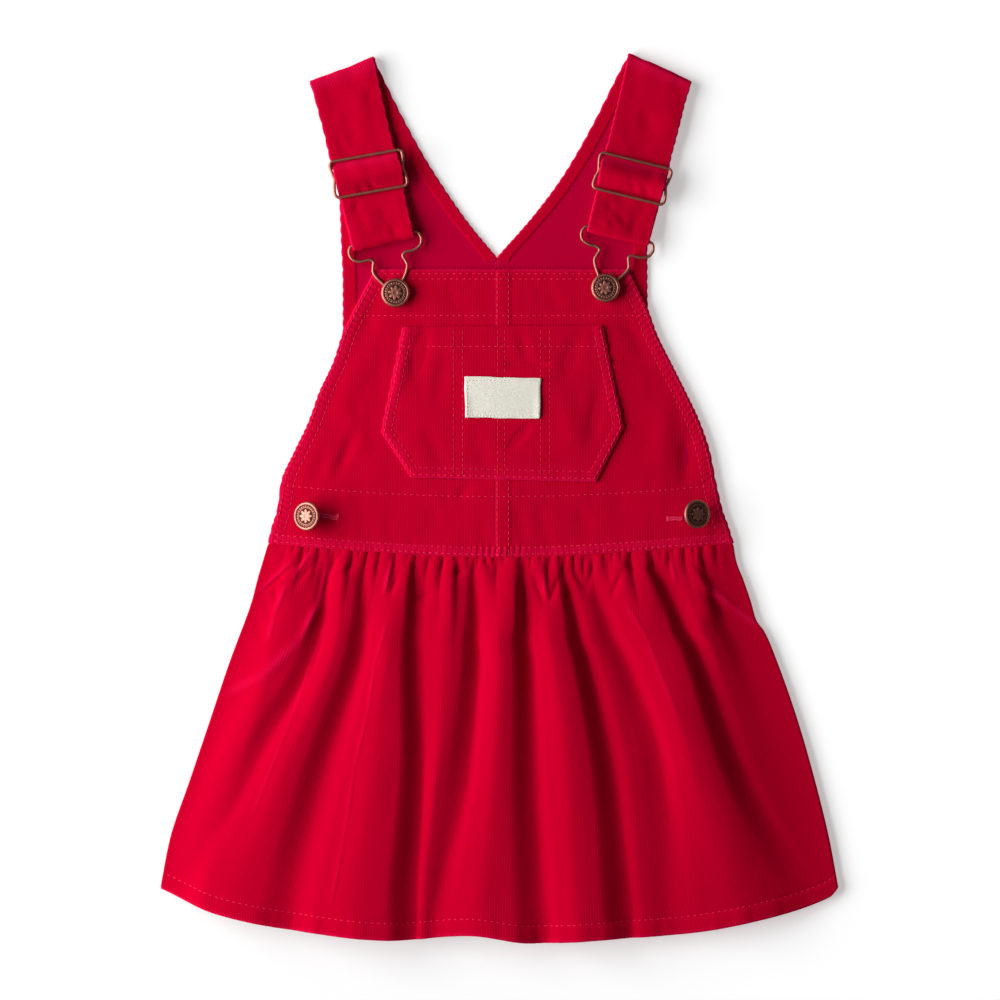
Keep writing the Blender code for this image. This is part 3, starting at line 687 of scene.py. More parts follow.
def stitch_mesh(name, rows, finish, length=STITCH_LENGTH, radius=STITCH_RADIUS, lift=0.03):
    """All the stitches of one piece, as small rounded threads that dip in at both ends."""
    seat = np.concatenate(rows)
    centre, way, up = seat[:, 0], seat[:, 1], seat[:, 2]
    side = unit(np.cross(way, up))
    points = []
    for ring in STITCH_RINGS:
        for k in range(STITCH_SIDES):
            a = 2 * math.pi * k / STITCH_SIDES
            points.append(
                centre + way * (ring.along * length)
                + side * (radius * ring.radius * math.cos(a))
                + up * (lift + radius * (ring.height + ring.radius * math.sin(a)))
            )
    each = len(points)
    template = ring_faces(len(STITCH_RINGS), STITCH_SIDES)
    faces = [[s * each + k for k in face] for s in range(len(seat)) for face in template]
    faces_out(new_mesh(name, np.stack(points, axis=1).reshape(-1, 3), faces, [finish]))


def troughs(x, y, lines, depth=0.14, width=1.1):
    """How far stitched lines pull the cloth down around them."""
    height = np.zeros(np.shape(x))
    for line in lines:
        height -= depth * bell(distance_to_line(x, y, line), width)
    return height


# ---------------------------------------------------------------- bib
def side_line(name, inset, y_from, y_to, steps=24):
    """A line down one side of the bib, a given way in from its edge."""
    made = []
    for y in np.linspace(y_from, y_to, steps):
        slope = float(along(BIB_SIDES, "y", name, y + 1) - along(BIB_SIDES, "y", name, y - 1)) / 2
        x = float(along(BIB_SIDES, "y", name, y))
        aside = inset * math.hypot(1, slope)
        made.append((x + (aside if name == "left" else -aside), y))
    return made


def level_line(y_of, x_from, x_to, steps=40):
    """A line across the cloth, from its height at each place."""
    return [(x, float(y_of(x))) for x in np.linspace(x_from, x_to, steps)]


def facing_row(x):
    """Y of the stitched row a little above the waist seam, which rises towards the sides."""
    return 2.0 + 6.4 * (abs(x) / 125.0) ** 2


def slant(x, y, inward, seed):
    """The slanting ribs that the turned edge's wales press through the cloth."""
    return np.cos(2 * math.pi * (y + 0.6 * inward + 0.9 * noise(x, y, 7, seed)) / SLANT_PITCH)


def seam_ribs(x, y):
    """The upright ribs that the seam allowance presses through over the waist seam."""
    return np.cos(2 * math.pi * (x + 0.5 * noise(x, y, 9, 3)) / SEAM_PITCH)


LEVEL_ROWS = 6                   # of the lines below; the rest run down the sides
BIB_LINES = (
    level_line(lambda x: 132.4, -71.5, 74.5),
    level_line(lambda x: TOP_STITCH_Y, -73.5, 76.5),
    level_line(lambda x: FACING_Y, -86.0, 87.5),
    level_line(facing_row, -125.5, 125.0),
    level_line(lambda x: seam_y(x) + 5.2, -131.5, 132.5),
    level_line(lambda x: seam_y(x) + 1.3, -132.5, 133.5),
    side_line("left", 1.7, 131.0, -20.0),
    side_line("left", 7.2, 128.0, -18.0),
    side_line("right", 1.7, 131.0, -20.0),
    side_line("right", 7.2, 128.0, -18.0),
)
SEAM_LINES = (
    [(LAP_LEFT + 1.0, y) for y in np.linspace(134.0, -31.5, 30)],
    [(LAP_RIGHT - 1.0, y) for y in np.linspace(134.0, -31.5, 30)],
)
BIB_CREASES = table(
    Crease,
    (-84.5, 40.0, -95.5, 14.0, 3.6, 0.9),
    (-92.0, 62.0, -84.0, 36.0, 6.0, -0.5),
    (-73.0, 118.0, -80.0, 96.0, 5.0, 0.5),
    (-78.0, 84.0, -92.0, 60.0, 7.0, -0.7),
    (-101.0, 30.0, -108.0, 10.0, 5.0, 0.4),
    (110.0, 38.0, 108.0, 8.0, 5.5, 1.2),
    (97.0, 52.0, 93.0, 20.0, 6.0, -0.6),
    (72.0, 108.0, 86.0, 84.0, 5.0, 0.5),
    (66.0, 81.5, 91.0, 80.0, 2.2, 0.5),
    (118.0, 22.0, 121.0, -4.0, 4.0, -0.4),
    (60.0, 117.0, 44.0, 110.0, 4.0, 0.35),
    (-30.0, 124.0, -24.0, 110.0, 3.5, 0.3),
    (31.0, 122.0, 36.0, 109.0, 4.0, 0.35),
    (24.0, -4.0, 27.0, -24.0, 4.0, 0.35),
    (10.0, -2.0, 14.0, -26.0, 4.0, 0.4),
    (-38.0, -2.0, -41.0, -24.0, 5.0, 0.3),
    (46.0, 0.0, 52.0, -22.0, 5.0, 0.35),
    (-18.0, 9.0, -24.0, 0.0, 3.0, 0.45),
)


def front_floor(x, y):
    """Height of the underside of the bib's cloth."""
    left, right = along(BIB_SIDES, "y", "left", y), along(BIB_SIDES, "y", "right", y)
    down = np.clip((BIB_TOP - y) / (BIB_TOP - seam_y(x)), 0, 1)
    inward = ease(np.minimum(x - left, right - x) / BIB_ROUND)
    return FRONT_FLOOR + BIB_RISE * down ** 1.5 * inward


def bib_relief(x, y):
    """Everything finer on the bib's outer face: hems, puckers, troughs and soft creases."""
    left, right = along(BIB_SIDES, "y", "left", y), along(BIB_SIDES, "y", "right", y)
    inward = np.minimum(x - left, right - x)
    over_seam = y - seam_y(x)
    height = 0.22 * ease((y - FACING_Y) / 1.2) + 0.25 * ease(y - TOP_STITCH_Y)
    height += 0.25 * ease((7.4 - inward) / 1.5)
    height += 0.30 * ease((5.6 - over_seam) / 1.2)
    height += 0.27 * seam_ribs(x, y) * bell(over_seam - 3.2, 3.2)
    height += 0.20 * slant(x, y, inward, 8) * bell(inward - 3.4, 3.4)
    pucker = noise(x, y * 0.35, 4.0, 4)
    near_rows = bell(y - 131, 5) + 0.7 * bell(y - FACING_Y, 5)
    near_rows += 0.7 * bell(y - facing_row(x), 5) + 0.8 * bell(over_seam - 6, 8)
    height += 0.16 * pucker * near_rows
    height += 0.14 * noise(x * 0.35, y, 4.0, 5) * bell(inward - 6, 5)
    calm = ease(inward / 14)
    height += calm * (
        0.50 * noise(x, y * 0.6, 30, 6) + 0.24 * noise(x, y * 0.7, 12, 7)
        + 0.13 * noise(x, y * 0.3, 5, 9)
    )
    return height + 1.5 * calm * creased(x, y, BIB_CREASES)


def bib_surface(x, y):
    """The bib's outer face, seams and all."""
    z = front_floor(x, y) + CLOTH + bib_relief(x, y) + troughs(x, y, BIB_LINES)
    lap = ease((x - LAP_LEFT) / 0.5) * ease((LAP_RIGHT + 1.2 - x) / 2.8)
    z = z + 0.45 * lap + troughs(x, y, SEAM_LINES, 0.10, 0.9)
    return np.stack([x, y, z], axis=-1)


def wale_edge(flat_x):
    """How far the ends of the wales stand out along a cut or turned edge."""
    return 0.5 * (np.abs(np.sin(math.pi * flat_x / WALE)) - 0.6)


def bib_half(strap):
    """Half of the bib; the right half laps over the left one at the felled seam."""
    side, name = strap.side, strap.name
    inner = BIB_SEAM_X - GAP / 2 if side < 0 else LAP_LEFT
    down = np.linspace(0, 1, 190)
    y_side = BIB_TOP + down * (SEAM_SIDE_Y - BIB_TOP)
    edge = along(BIB_SIDES, "y", name, y_side)
    edge = edge + side * wale_edge(edge)
    near, far = np.linspace(0, 12, 31), np.linspace(12, 100, 75)[1:]
    t = np.concatenate([near, far]) / 100.0
    x = inner + t[None, :] * (edge[:, None] - inner)
    y = BIB_TOP + down[:, None] * (seam_y(x) - BIB_TOP)
    top = bib_surface(x, y)
    if side < 0:
        under_lap = ease((x - LAP_LEFT + 0.5) / 0.5)
        plain = front_floor(x, y) + CLOTH
        lowered = np.minimum(top[..., 2], plain - 0.1)
        top[..., 2] = top[..., 2] * (1 - under_lap) + lowered * under_lap
    floor = front_floor(x, y)
    if side > 0:
        over = ease((BIB_SEAM_X + 0.3 - x) / 0.3)
        floor = floor * (1 - over) + (floor + CLOTH) * over
    bottom = np.stack([x, y, floor], axis=-1)
    # Paler colour along the edges, the top and the felled seam, for worn pile and painted highlight.
    # Painted highlight also on the rib crests over the waist seam and along the turned edges.
    inward = np.abs(edge[:, None] - x)
    wear_and_highlight = bell(inward, 1.2) + 0.7 * bell(BIB_TOP - y, 1.0)
    wear_and_highlight += 0.5 * bell(x - LAP_LEFT, 0.7)
    ribs = 0.5 + 0.5 * seam_ribs(x, y)
    wear_and_highlight += (0.15 + 0.55 * ribs) * ease((6.5 - (y - seam_y(x))) / 2)
    wear_and_highlight += (0.30 + 0.45 * slant(x, y, inward, 8)) * bell(inward - 3.4, 3.8)
    made = shell(
        f"bib_{name}_cloth", top, bottom, np.stack([x, y], axis=-1), [RIGHT_SIDE, WRONG_SIDE],
        mark=np.clip(wear_and_highlight, 0, 1),
    )
    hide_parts(f"bib_{name}")


# ---------------------------------------------------------------- pocket and label
def pocket_floor(x, y):
    top, bottom = POCKET[0].left_y, POCKET[-1].left_y
    puff = np.clip((top - y) / (top - bottom), 0, 1)
    narrow = np.clip(np.abs(x) / POCKET[0].right_x, 0, 1)
    lift = POCKET_PUFF * 4 * puff * (1 - puff) * (1 - narrow ** 2)
    return front_floor(x, y) + CLOTH + GAP + lift


def pocket_outline(inset):
    """The pocket's corners, moved in by a given way, from the top left round to the top right."""
    corners = [np.array((c.left_x, c.left_y)) for c in POCKET]
    corners += [np.array((c.right_x, c.right_y)) for c in reversed(POCKET)]
    made = []
    for i, corner in enumerate(corners):
        before, after = corners[i - 1], corners[(i + 1) % len(corners)]
        u, v = unit(corner - before), unit(after - corner)
        nu, nv = np.array((-u[1], u[0])), np.array((-v[1], v[0]))
        middle = unit(nu + nv)
        made.append(tuple(corner + middle * inset / max(0.3, float(middle @ nv))))
    return made


def pocket_inward(x, y):
    """Distance from the pocket's edge."""
    return distance_to_line(x, y, pocket_outline(0.0))


POCKET_THIN = 0.35               # pressed thinner than the rest
PENCIL_ROWS = (-26.9, -21.4, -0.9, 3.2, 24.0, 29.5)
POCKET_LINES = [
    pocket_outline(1.6),
    pocket_outline(5.6),
    level_line(lambda x: POCKET_HEM_Y, -57.5, 61.5),
] + [[(x, y) for y in np.linspace(100.0, 14.5, 20)] for x in PENCIL_ROWS]
POCKET_CREASES = table(
    Crease,
    (-43.5, 101.0, -49.5, 72.0, 4.2, 1.0),
    (-55.0, 88.0, -60.0, 60.0, 4.0, -0.5),
    (-33.0, 84.0, -36.0, 58.0, 4.0, 0.4),
    (17.5, 43.5, 6.0, 31.0, 2.6, 0.8),
    (5.0, 79.3, 29.0, 79.0, 1.8, 0.8),
    (46.0, 96.0, 38.0, 72.0, 4.5, 0.5),
    (58.0, 66.0, 54.0, 34.0, 4.5, 0.6),
    (38.0, 60.0, 44.0, 30.0, 6.0, -0.4),
    (-44.0, 44.0, -34.0, 22.0, 5.0, 0.4),
    (-14.0, 40.0, -8.0, 20.0, 5.0, 0.3),
    (12.0, 98.0, 16.0, 82.0, 3.5, 0.4),
)


def pocket_surface(x, y):
    inward = pocket_inward(x, y)
    height = 0.18 * ease((6.2 - inward) / 1.4) + 0.25 * ease(y - POCKET_HEM_Y) - POCKET_THIN
    height += 0.15 * noise(x, y, 4.5, 11) * bell(inward - 4, 4)
    height += 0.32 * noise(x, y * 0.6, 22, 12) + 0.16 * noise(x, y * 0.8, 9, 13)
    height += 0.16 * slant(x, y, inward, 15) * bell(inward - 3.6, 3.2)
    height += 1.7 * creased(x, y, POCKET_CREASES) * ease(inward / 3)
    height += troughs(x, y, POCKET_LINES[:3]) + troughs(x, y, POCKET_LINES[3:], 0.07)
    height -= 0.55 * (1 - ease(inward / 1.6))
    return np.stack([x, y, pocket_floor(x, y) + CLOTH + height], axis=-1)


def patch_grid(corners, rows, columns):
    """Plan places over a straight-sided piece, denser near its edges."""
    keys = np.array(corners)
    heights = keys[:, 1] + keys[:, 3]
    levels = np.linspace(heights[0], heights[-1], rows)
    at = [np.interp(-levels, -heights, keys[:, k]) for k in range(4)]
    t = np.linspace(0, 1, columns)
    x = at[0][:, None] + t * (at[2] - at[0])[:, None]
    y = at[1][:, None] + t * (at[3] - at[1])[:, None]
    return x, y


def pocket():
    x, y = patch_grid(POCKET, 150, 200)
    sideways = np.abs(np.linspace(-1, 1, 200))
    rim = 0.5 * noise(x, y, 6, 14) * (sideways > 0.5)
    x = x + np.sign(x) * ease((sideways - 0.9) / 0.1) * (wale_edge(x) + 0.3 * rim)
    top = pocket_surface(x, y)
    inward = pocket_inward(x, y)
    bottom = np.stack([x, y, pocket_floor(x, y) - 0.12], axis=-1)
    bottom[..., 2] = np.maximum(bottom[..., 2], bib_surface(x, y)[..., 2] + 0.05)
    top[..., 2] = np.maximum(top[..., 2], bottom[..., 2] + 0.6)
    # Paler colour along the pocket's edges, for worn pile and painted highlight.
    made = shell(
        "pocket_cloth", top, bottom, np.stack([x, y], axis=-1), [RIGHT_SIDE, WRONG_SIDE],
        mark=np.clip(0.7 * bell(inward, 1.2) + 0.25 * bell(inward - 3, 4), 0, 1),
    )
    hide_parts("pocket")
    rows = [seats(pocket_surface, line, seed=20 + i) for i, line in enumerate(POCKET_LINES)]
    stitch_mesh("pocket_stitches", rows[:1] + rows[2:3], THREAD)
    stitch_mesh("pocket_inner_stitches", rows[1:2] + rows[3:], DEEP_THREAD, radius=0.21)


def label_surface(x, y):
    base = pocket_floor(x, y) + CLOTH + GAP + LABEL_CLOTH * 0.75 - POCKET_THIN
    curl = 0.35 * ease((np.abs(x - 1.9) - 17) / 5) * ease((62 - y) / 10 + 0.3)
    return np.stack([x, y, base + curl + 0.25 * noise(x, y, 14, 31)], axis=-1)


def label():
    x, y = patch_grid(LABEL, 50, 80)
    x = x + 0.25 * noise(x * 0, y, 5, 32)
    y = y + 0.22 * noise(x, y * 0, 7, 33)
    top = label_surface(x, y)
    bottom = top.copy()
    bottom[..., 2] = np.maximum(pocket_surface(x, y)[..., 2] + 0.05, top[..., 2] - LABEL_CLOTH * 0.8)
    top[..., 2] = np.maximum(top[..., 2], bottom[..., 2] + 0.45)
    made = shell("label_cloth", top, bottom, np.stack([x, y], axis=-1), [LABEL_TAPE, LABEL_TAPE])
    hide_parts("label")
    inset = 1.3
    left, right = LABEL[0].left_x + inset, LABEL[0].right_x - inset
    high, low = LABEL[0].right_y - inset + 0.3, LABEL[1].left_y + inset - 0.6
    ring = [(left, high), (right, high), (right, low), (left, low), (left, high)]
    sides = enumerate(zip(ring, ring[1:]))
    rows = [seats(label_surface, side, 2.0, 40 + i) for i, side in sides]
    stitch_mesh("label_stitches", rows, PALE_THREAD, 1.4, 0.16, 0.06)


# ---------------------------------------------------------------- skirt
def skirt_plan(across, down, inset=0.0):
    """X and Y of places on the skirt, with X of its two sides level with them."""
    y_side = SEAM_SIDE_Y + down * (HEM[0].y - SEAM_SIDE_Y)
    left = along(SKIRT_SIDES, "y", "left", y_side) + inset
    right = along(SKIRT_SIDES, "y", "right", y_side) - inset
    x = left + across * (right - left)
    top = seam_y(x) - SEAM_GAP
    hem = along(HEM, "across", "y", across) + inset
    return x, top + down * (hem - top), left, right


def gather_place(gather):
    left, right = SKIRT_SIDES[0].left, SKIRT_SIDES[0].right
    return (gather.x - left) / (right - left)


def gathers_height(across, down):
    """Height of the small gathers: round tops, sharp valleys, and a pinch at the seam."""
    crests = [gather_place(g) for g in GATHERS]
    valleys = [0.0] + [a + GATHER_FALL * (b - a) for a, b in zip(crests, crests[1:])] + [1.0]
    pinch = 0.45 + 0.55 * ease(down * SKIRT_LENGTH / 7)
    height = np.zeros(np.broadcast(across, down).shape)
    for gather, crest, before, after in zip(GATHERS, crests, valleys, valleys[1:]):
        side = np.where(across < crest, crest - before, after - crest)
        t = np.clip(np.abs(across - crest) / side, 0, 1)
        fade = 1 - ease(down * SKIRT_LENGTH / gather.length)
        height = height + gather.height * fade * pinch * (1 - t ** 1.7)
    return height


def folds_height(across, down):
    """Height of the big folds, for a row of places at one level down the skirt."""
    width = SKIRT_SIDES[0].right - SKIRT_SIDES[0].left + SKIRT_SPREAD * down
    half = float(np.interp(down, FOLD_LEVELS, FOLD_WIDTHS)) / width / 2
    grown = 0.12 + 0.88 * float(ease((down - 0.008) / 0.085))
    places, heights, last = [0.0], [0.0], 0.0
    for fold in FOLDS:
        at = float(smooth(FOLD_LEVELS, fold[:4], min(down, 0.97)))
        drop = float(np.interp(down, FOLD_LEVELS, fold[4:])) * grown
        fall = min(half, 0.4 * (at - last), 0.8 * (1 - at))
        crest = (FOLD_CREST[0] + (FOLD_CREST[1] - FOLD_CREST[0]) * at) * (at - fall - last)
        places += [last + 0.45 * crest, last + crest, at - fall, at + fall]
        heights += [0.58 * drop, drop, FOLD_SHOULDER * drop, 0.0]
        last = at + fall
    return smooth(places + [1.0], heights + [0.0], across)


SKIRT_CREASES = table(
    Crease,
    # The left side's pocket edge, and the small wrinkles under it
    (-121.5, -36.5, -142.8, -54.6, 1.0, -0.7), (-120.5, -38.5, -141.0, -56.8, 1.3, 0.5),
    (-131.6, -51.5, -130.2, -58.0, 1.5, 0.7), (-137.0, -58.0, -134.0, -68.0, 2.0, 0.5),
    (-125.0, -50.5, -131.5, -67.0, 1.3, -0.6), (-131.5, -67.0, -135.0, -82.0, 1.6, -0.5),
    (-102.0, -54.5, -116.7, -82.0, 2.6, -0.6), (-116.7, -82.0, -139.0, -103.0, 3.6, -0.7),
    (-139.0, -103.0, -161.0, -113.5, 3.2, -0.6), (-141.0, -108.0, -160.0, -118.0, 4.0, 0.5),
    (-143.0, -66.0, -139.0, -80.0, 2.2, 0.5),
    # The tops of the folds, left to right
    (-110.5, -31.0, -120.5, -45.5, 1.3, -0.7), (-108.5, -37.0, -117.5, -48.0, 1.5, 0.5),
    (-101.0, -37.5, -105.5, -59.0, 1.4, -0.7), (-105.5, -59.0, -114.0, -78.0, 1.8, -0.5),
    (-86.0, -36.5, -90.5, -43.5, 1.9, 0.9), (-95.0, -34.0, -98.0, -42.0, 1.5, 0.7),
    (-63.0, -35.5, -67.4, -55.0, 1.2, -0.8), (-59.4, -43.5, -63.0, -54.5, 1.6, 0.9),
    (-48.8, -58.5, -38.5, -54.0, 3.0, 0.9), (-27.0, -43.5, -21.5, -41.0, 2.2, 1.0),
    (-8.5, -34.0, -5.6, -41.0, 2.0, 0.8), (20.5, -45.0, 26.6, -62.0, 2.0, 1.0),
    (35.5, -43.5, 28.8, -61.0, 1.9, 0.8), (25.5, -42.0, 27.0, -56.0, 1.3, -0.6),
    (44.2, -41.0, 49.5, -53.0, 1.8, 0.8), (54.8, -38.0, 51.0, -52.0, 1.7, 0.6),
    (71.8, -42.0, 65.8, -56.5, 1.8, 0.9), (75.0, -36.0, 78.6, -42.5, 1.9, 0.9),
    (86.3, -37.5, 90.3, -46.0, 1.9, 0.9), (100.0, -36.0, 103.0, -48.0, 1.5, -0.5),
    # Thin ridges down the crests; skirt_front paints these and every other ridge here paler, as
    # highlight
    (-101.5, -72.5, -121.4, -128.1, 1.0, -0.35), (-121.4, -128.1, -144.2, -183.7, 1.1, -0.3),
    (-65.8, -72.5, -72.2, -94.2, 0.9, -0.35), (-72.2, -94.2, -76.9, -125.2, 0.9, -0.4),
    (-76.9, -125.2, -84.5, -155.6, 0.9, -0.4), (-84.5, -155.6, -90.4, -196.0, 0.9, -0.35),
    (-90.4, -196.0, -98.0, -235.8, 0.9, -0.3), (74.0, -60.3, 85.1, -79.0, 1.2, -0.35),
    (85.1, -79.0, 103.3, -125.2, 1.3, -0.3),
    # The long slant towards the right side
    (121.4, -50.3, 138.2, -63.8, 2.4, -0.8), (138.2, -63.8, 151.0, -73.5, 2.4, -0.8),
    (119.0, -54.5, 135.5, -69.5, 3.0, 0.8), (114.0, -37.0, 121.5, -48.0, 1.6, 0.6),
)


def pinches(across, down):
    """Small sharp valleys of many lengths, where the gathering threads hold the cloth."""
    x = across * (SKIRT_SIDES[0].right - SKIRT_SIDES[0].left)
    t = x / 6.3 + 0.9 * noise(x, 0 * x, 15, 55)
    reach = 8.5 + 6.5 * noise(x, 0 * x, 8, 56)
    valley = bell(t - np.round(t), 0.17)
    return -0.8 * valley * (1 - ease(down * SKIRT_LENGTH / reach))


def skirt_form(across, down):
    """The front skirt's folds and gathers alone, over matching arrays of places."""
    across, down = np.asarray(across, float), np.asarray(down, float)
    x, y, left, right = skirt_plan(across, down)
    round_left, round_right = (SKIRT_ROUND + spread * ease(2 * down) for spread in ROUND_SPREAD)
    inward = ease(np.minimum((x - left) / round_left, (right - x) / round_right))
    folds = np.empty(across.shape)
    for level in np.unique(down):
        here = down == level
        folds[here] = folds_height(across[here], level)
    lift = BIB_RISE - GATHER_DROP + HEM_RISE * ease(down * HEM_RISE_PACE)
    lift = lift + gathers_height(across, down) + folds
    return np.stack([x, y, FRONT_FLOOR + CLOTH / 2 + inward * lift], axis=-1), inward


def skirt_middle(across, down):
    """Middle of the front skirt's cloth, with its fine creases."""
    p, inward = skirt_form(across, down)
    fine = 0.35 * noise(across * 250, down * 60, 9, 51)
    fine = fine + 0.5 * noise(across * 200, down * 90, 26, 52)
    fine = fine * ease(down * 6) + pinches(across, down)
    creases = 1.5 * creased(p[..., 0], p[..., 1], SKIRT_CREASES)
    z = p[..., 2] + inward * fine + (0.3 + 0.7 * inward) * creases
    hem_off = (1 - down) * SKIRT_LENGTH
    z = z - 0.3 * bell(hem_off - HEM_DEPTH, 0.9) + 0.25 * ease((HEM_DEPTH - hem_off) / 1.5)
    z = z + 0.25 * inward * noise(across * 396, 0 * down, 4.5, 57) * ease((14 - hem_off) / 7)
    return np.concatenate([p[..., :2], z[..., None]], axis=-1)


def unfolded(form):
    """How far across the uncut cloth each place of a gathered sheet lies.

    Most of what the gathering takes up is hidden in the steep places.
    """
    step = np.diff(form, axis=1)
    plan, rise = np.hypot(step[..., 0], step[..., 1]), np.abs(step[..., 2])
    low, high = np.zeros(len(form)), np.full(len(form), 60.0)
    for _ in range(22):
        steep = (low + high) / 2
        short = np.hypot(plan, steep[:, None] * rise).sum(axis=1) < SKIRT_CUT
        low, high = np.where(short, steep, low), np.where(short, high, steep)
    run = np.cumsum(np.hypot(plan, low[:, None] * rise), axis=1)
    return np.concatenate([np.zeros((len(form), 1)), run], axis=1) - run[:, -1:] / 2


def skirt_outer(across, down):
    """Outer face of the front skirt, near enough for stitches."""
    return skirt_middle(across, down) + np.array((0, 0, CLOTH / 2))


def skirt_front():
    across = np.linspace(0, 1, 400)
    levels = [np.linspace(0, 0.25, 46), np.linspace(0.25, 0.93, 48), np.linspace(0.93, 1.0, 16)]
    down = np.unique(np.concatenate(levels))
    a, d = np.meshgrid(across, down)
    middle = skirt_middle(a, d)
    n = normals(middle, 2)
    n *= np.sign(n[..., 2:3])
    flat = np.stack([unfolded(skirt_form(a, d)[0]), -d * SKIRT_LENGTH], axis=-1)
    hem_off = (1 - d) * SKIRT_LENGTH
    # Paler colour at the hem's fold, for worn pile and painted highlight. Painted highlight also
    # along every ridge crease, standing in for light on the crests.
    ridges = [c._replace(width=0.7 * c.width) for c in SKIRT_CREASES if c.depth < 0]
    wear_and_highlight = 0.7 * bell(hem_off, 1.2) + creased(middle[..., 0], middle[..., 1], ridges)
    made = shell(
        "skirt_front_cloth", middle + n * CLOTH / 2, middle - n * CLOTH / 2, flat,
        [RIGHT_SIDE, WRONG_SIDE], mark=np.clip(wear_and_highlight, 0, 1),
    )
    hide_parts("skirt_front")
    row = 1 - HEM_DEPTH / SKIRT_LENGTH
    hem = [(t, row) for t in np.linspace(0.004, 0.996, 60)]
    stitch_mesh("hem_stitches", [seats(skirt_outer, hem, seed=60)], THREAD)


def skirt_back():
    a, d = np.meshgrid(np.linspace(0, 1, 220), np.linspace(0, 1, 120))
    x, y = skirt_plan(a, d, BACK_INSET)[:2]
    top = np.stack([x, y, np.full_like(x, CLOTH)], axis=-1)
    edge = ease(np.minimum(a, 1 - a) * 14)
    crease = edge * (0.5 + 0.5 * noise(a * 300, d * 40, 11, 71)) * 0.55 * ease(d * 8)
    bottom = np.stack([x, y, crease], axis=-1)
    flat = np.stack([a * SKIRT_CUT, -d * SKIRT_LENGTH], axis=-1)
    made = shell("skirt_back_cloth", top, bottom, flat, [WRONG_SIDE, RIGHT_SIDE])
    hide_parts("skirt_back")


# ---------------------------------------------------------------- back and straps
def strap_place(strap, s):
    """The middle of the strap, `s` millimetres down from the shoulder fold."""
    lean = math.radians(strap.lean)
    up = strap.length - s
    return np.array((
        strap.button_x + strap.side * math.sin(lean) * up,
        strap.button_y + math.cos(lean) * up,
    ))


def strap_frame(strap, s):
    """Middle, way across towards the neck, and width of the strap's row at `s`."""
    stations = (0.0, 30.0, strap.slider - 12, strap.slider + 12, strap.length - HOOK_REACH)
    tilts = (strap.fold_tilt, strap.lean, strap.slider_tilt, strap.slider_tilt, strap.hook_tilt)
    tilt = math.radians(float(smooth(stations, tilts, np.clip(s, 0, stations[-1]))))
    width = float(smooth(*zip(*STRAP_WIDTHS), s)) / math.cos(tilt - math.radians(strap.lean))
    inward = np.array((-strap.side * math.cos(tilt), math.sin(tilt)))
    middle = strap_place(strap, s) + inward * strap.slider_in * bell(s - strap.slider, 9)
    return middle, inward, width


def arc(middle, radius, start, end, steps):
    turns = np.radians(np.linspace(start, end, steps + 1))
    return [(middle[0] + radius * math.cos(a), middle[1] + radius * math.sin(a)) for a in turns]


def strap_path(strap):
    """The strap's way from the shoulder: slider, hook and back to the slider's middle bar."""
    fold = (LOW_RUN - CLOTH / 2) / 2
    hook_s = strap.length - HOOK_REACH
    bar_s = strap.slider
    above, below = bar_s - SLIDER_HALF_HEIGHT - 1, bar_s + SLIDER_HALF_HEIGHT + 1
    path = arc((0, CLOTH / 2 + fold), fold, 270 - 12, 90, 14)
    path += [(s, LOW_RUN) for s in np.linspace(1, above, 46)]
    for t in np.linspace(-1, 1, 31):
        hump = (HIGH_RUN - LOW_RUN) * (1 + math.cos(math.pi * t)) / 2
        path.append((bar_s + t * (SLIDER_HALF_HEIGHT - 1.0), LOW_RUN + hump))
    for t in np.linspace(0, 1, 26)[:-1]:
        climb = ease(t) * (HOOK_HEIGHT + LOOP_RADIUS - LOW_RUN)
        path.append((below + t * (hook_s - below), LOW_RUN + climb))
    path += arc((hook_s, HOOK_HEIGHT), LOOP_RADIUS, 90, -90, 14)
    path += [(s, RETURN_RUN) for s in np.linspace(hook_s - 2, bar_s + 7, 16)]
    path += [(bar_s + s, RETURN_RUN + z) for s, z in ((5.0, 0.15), (3.2, 0.7), (1.6, 1.45))]
    path += arc((bar_s, SLIDER_HEIGHT), LOOP_RADIUS, -90, -340, 20)
    return path


def across_places(width):
    """Places across a strip: close ones in the band along each edge, wide ones between."""
    band = min(BAND, width * 0.3)
    near = np.concatenate([[0, 0.5, 1.1], np.linspace(1.8, band - 0.5, 6), [band, band + 0.6]])
    middle = np.linspace(band + 0.6, width - band - 0.6, 22)[1:-1]
    return np.concatenate([near, middle, width - near[::-1]]) - width / 2


BAND_COLUMNS = 9                 # columns of places in each turned band
STRAP_CREASES = table(
    Crease,
    (-75.8, 186.5, -72.2, 180.0, 1.7, 0.7), (-81.6, 184.0, -79.8, 178.5, 1.5, 0.5),
    (-82.8, 175.0, -85.0, 167.0, 2.2, 0.6), (-69.0, 171.5, -67.2, 164.0, 2.6, 0.5),
    (-77.0, 168.0, -75.0, 160.0, 3.0, -0.4), (-62.8, 160.0, -60.5, 153.0, 1.8, 0.6),
    (-84.0, 157.0, -74.0, 160.5, 2.0, 0.5), (-90.0, 232.0, -86.0, 205.0, 6.0, 0.5),
    (-83.0, 240.0, -80.5, 222.0, 4.0, -0.4), (-95.5, 215.0, -90.5, 203.0, 3.0, 0.4),
    (62.7, 175.0, 66.4, 168.5, 2.0, 0.5), (69.0, 168.0, 74.4, 160.5, 2.2, 0.6),
    (79.4, 165.0, 77.4, 154.0, 2.4, 0.5), (84.0, 184.0, 87.0, 178.0, 1.8, 0.6),
    (61.0, 164.0, 64.0, 158.0, 2.2, -0.4), (77.0, 186.5, 79.5, 180.0, 1.6, 0.5),
    (88.0, 230.0, 86.0, 206.0, 5.0, 0.5), (97.0, 238.0, 99.0, 220.0, 4.5, -0.4),
)


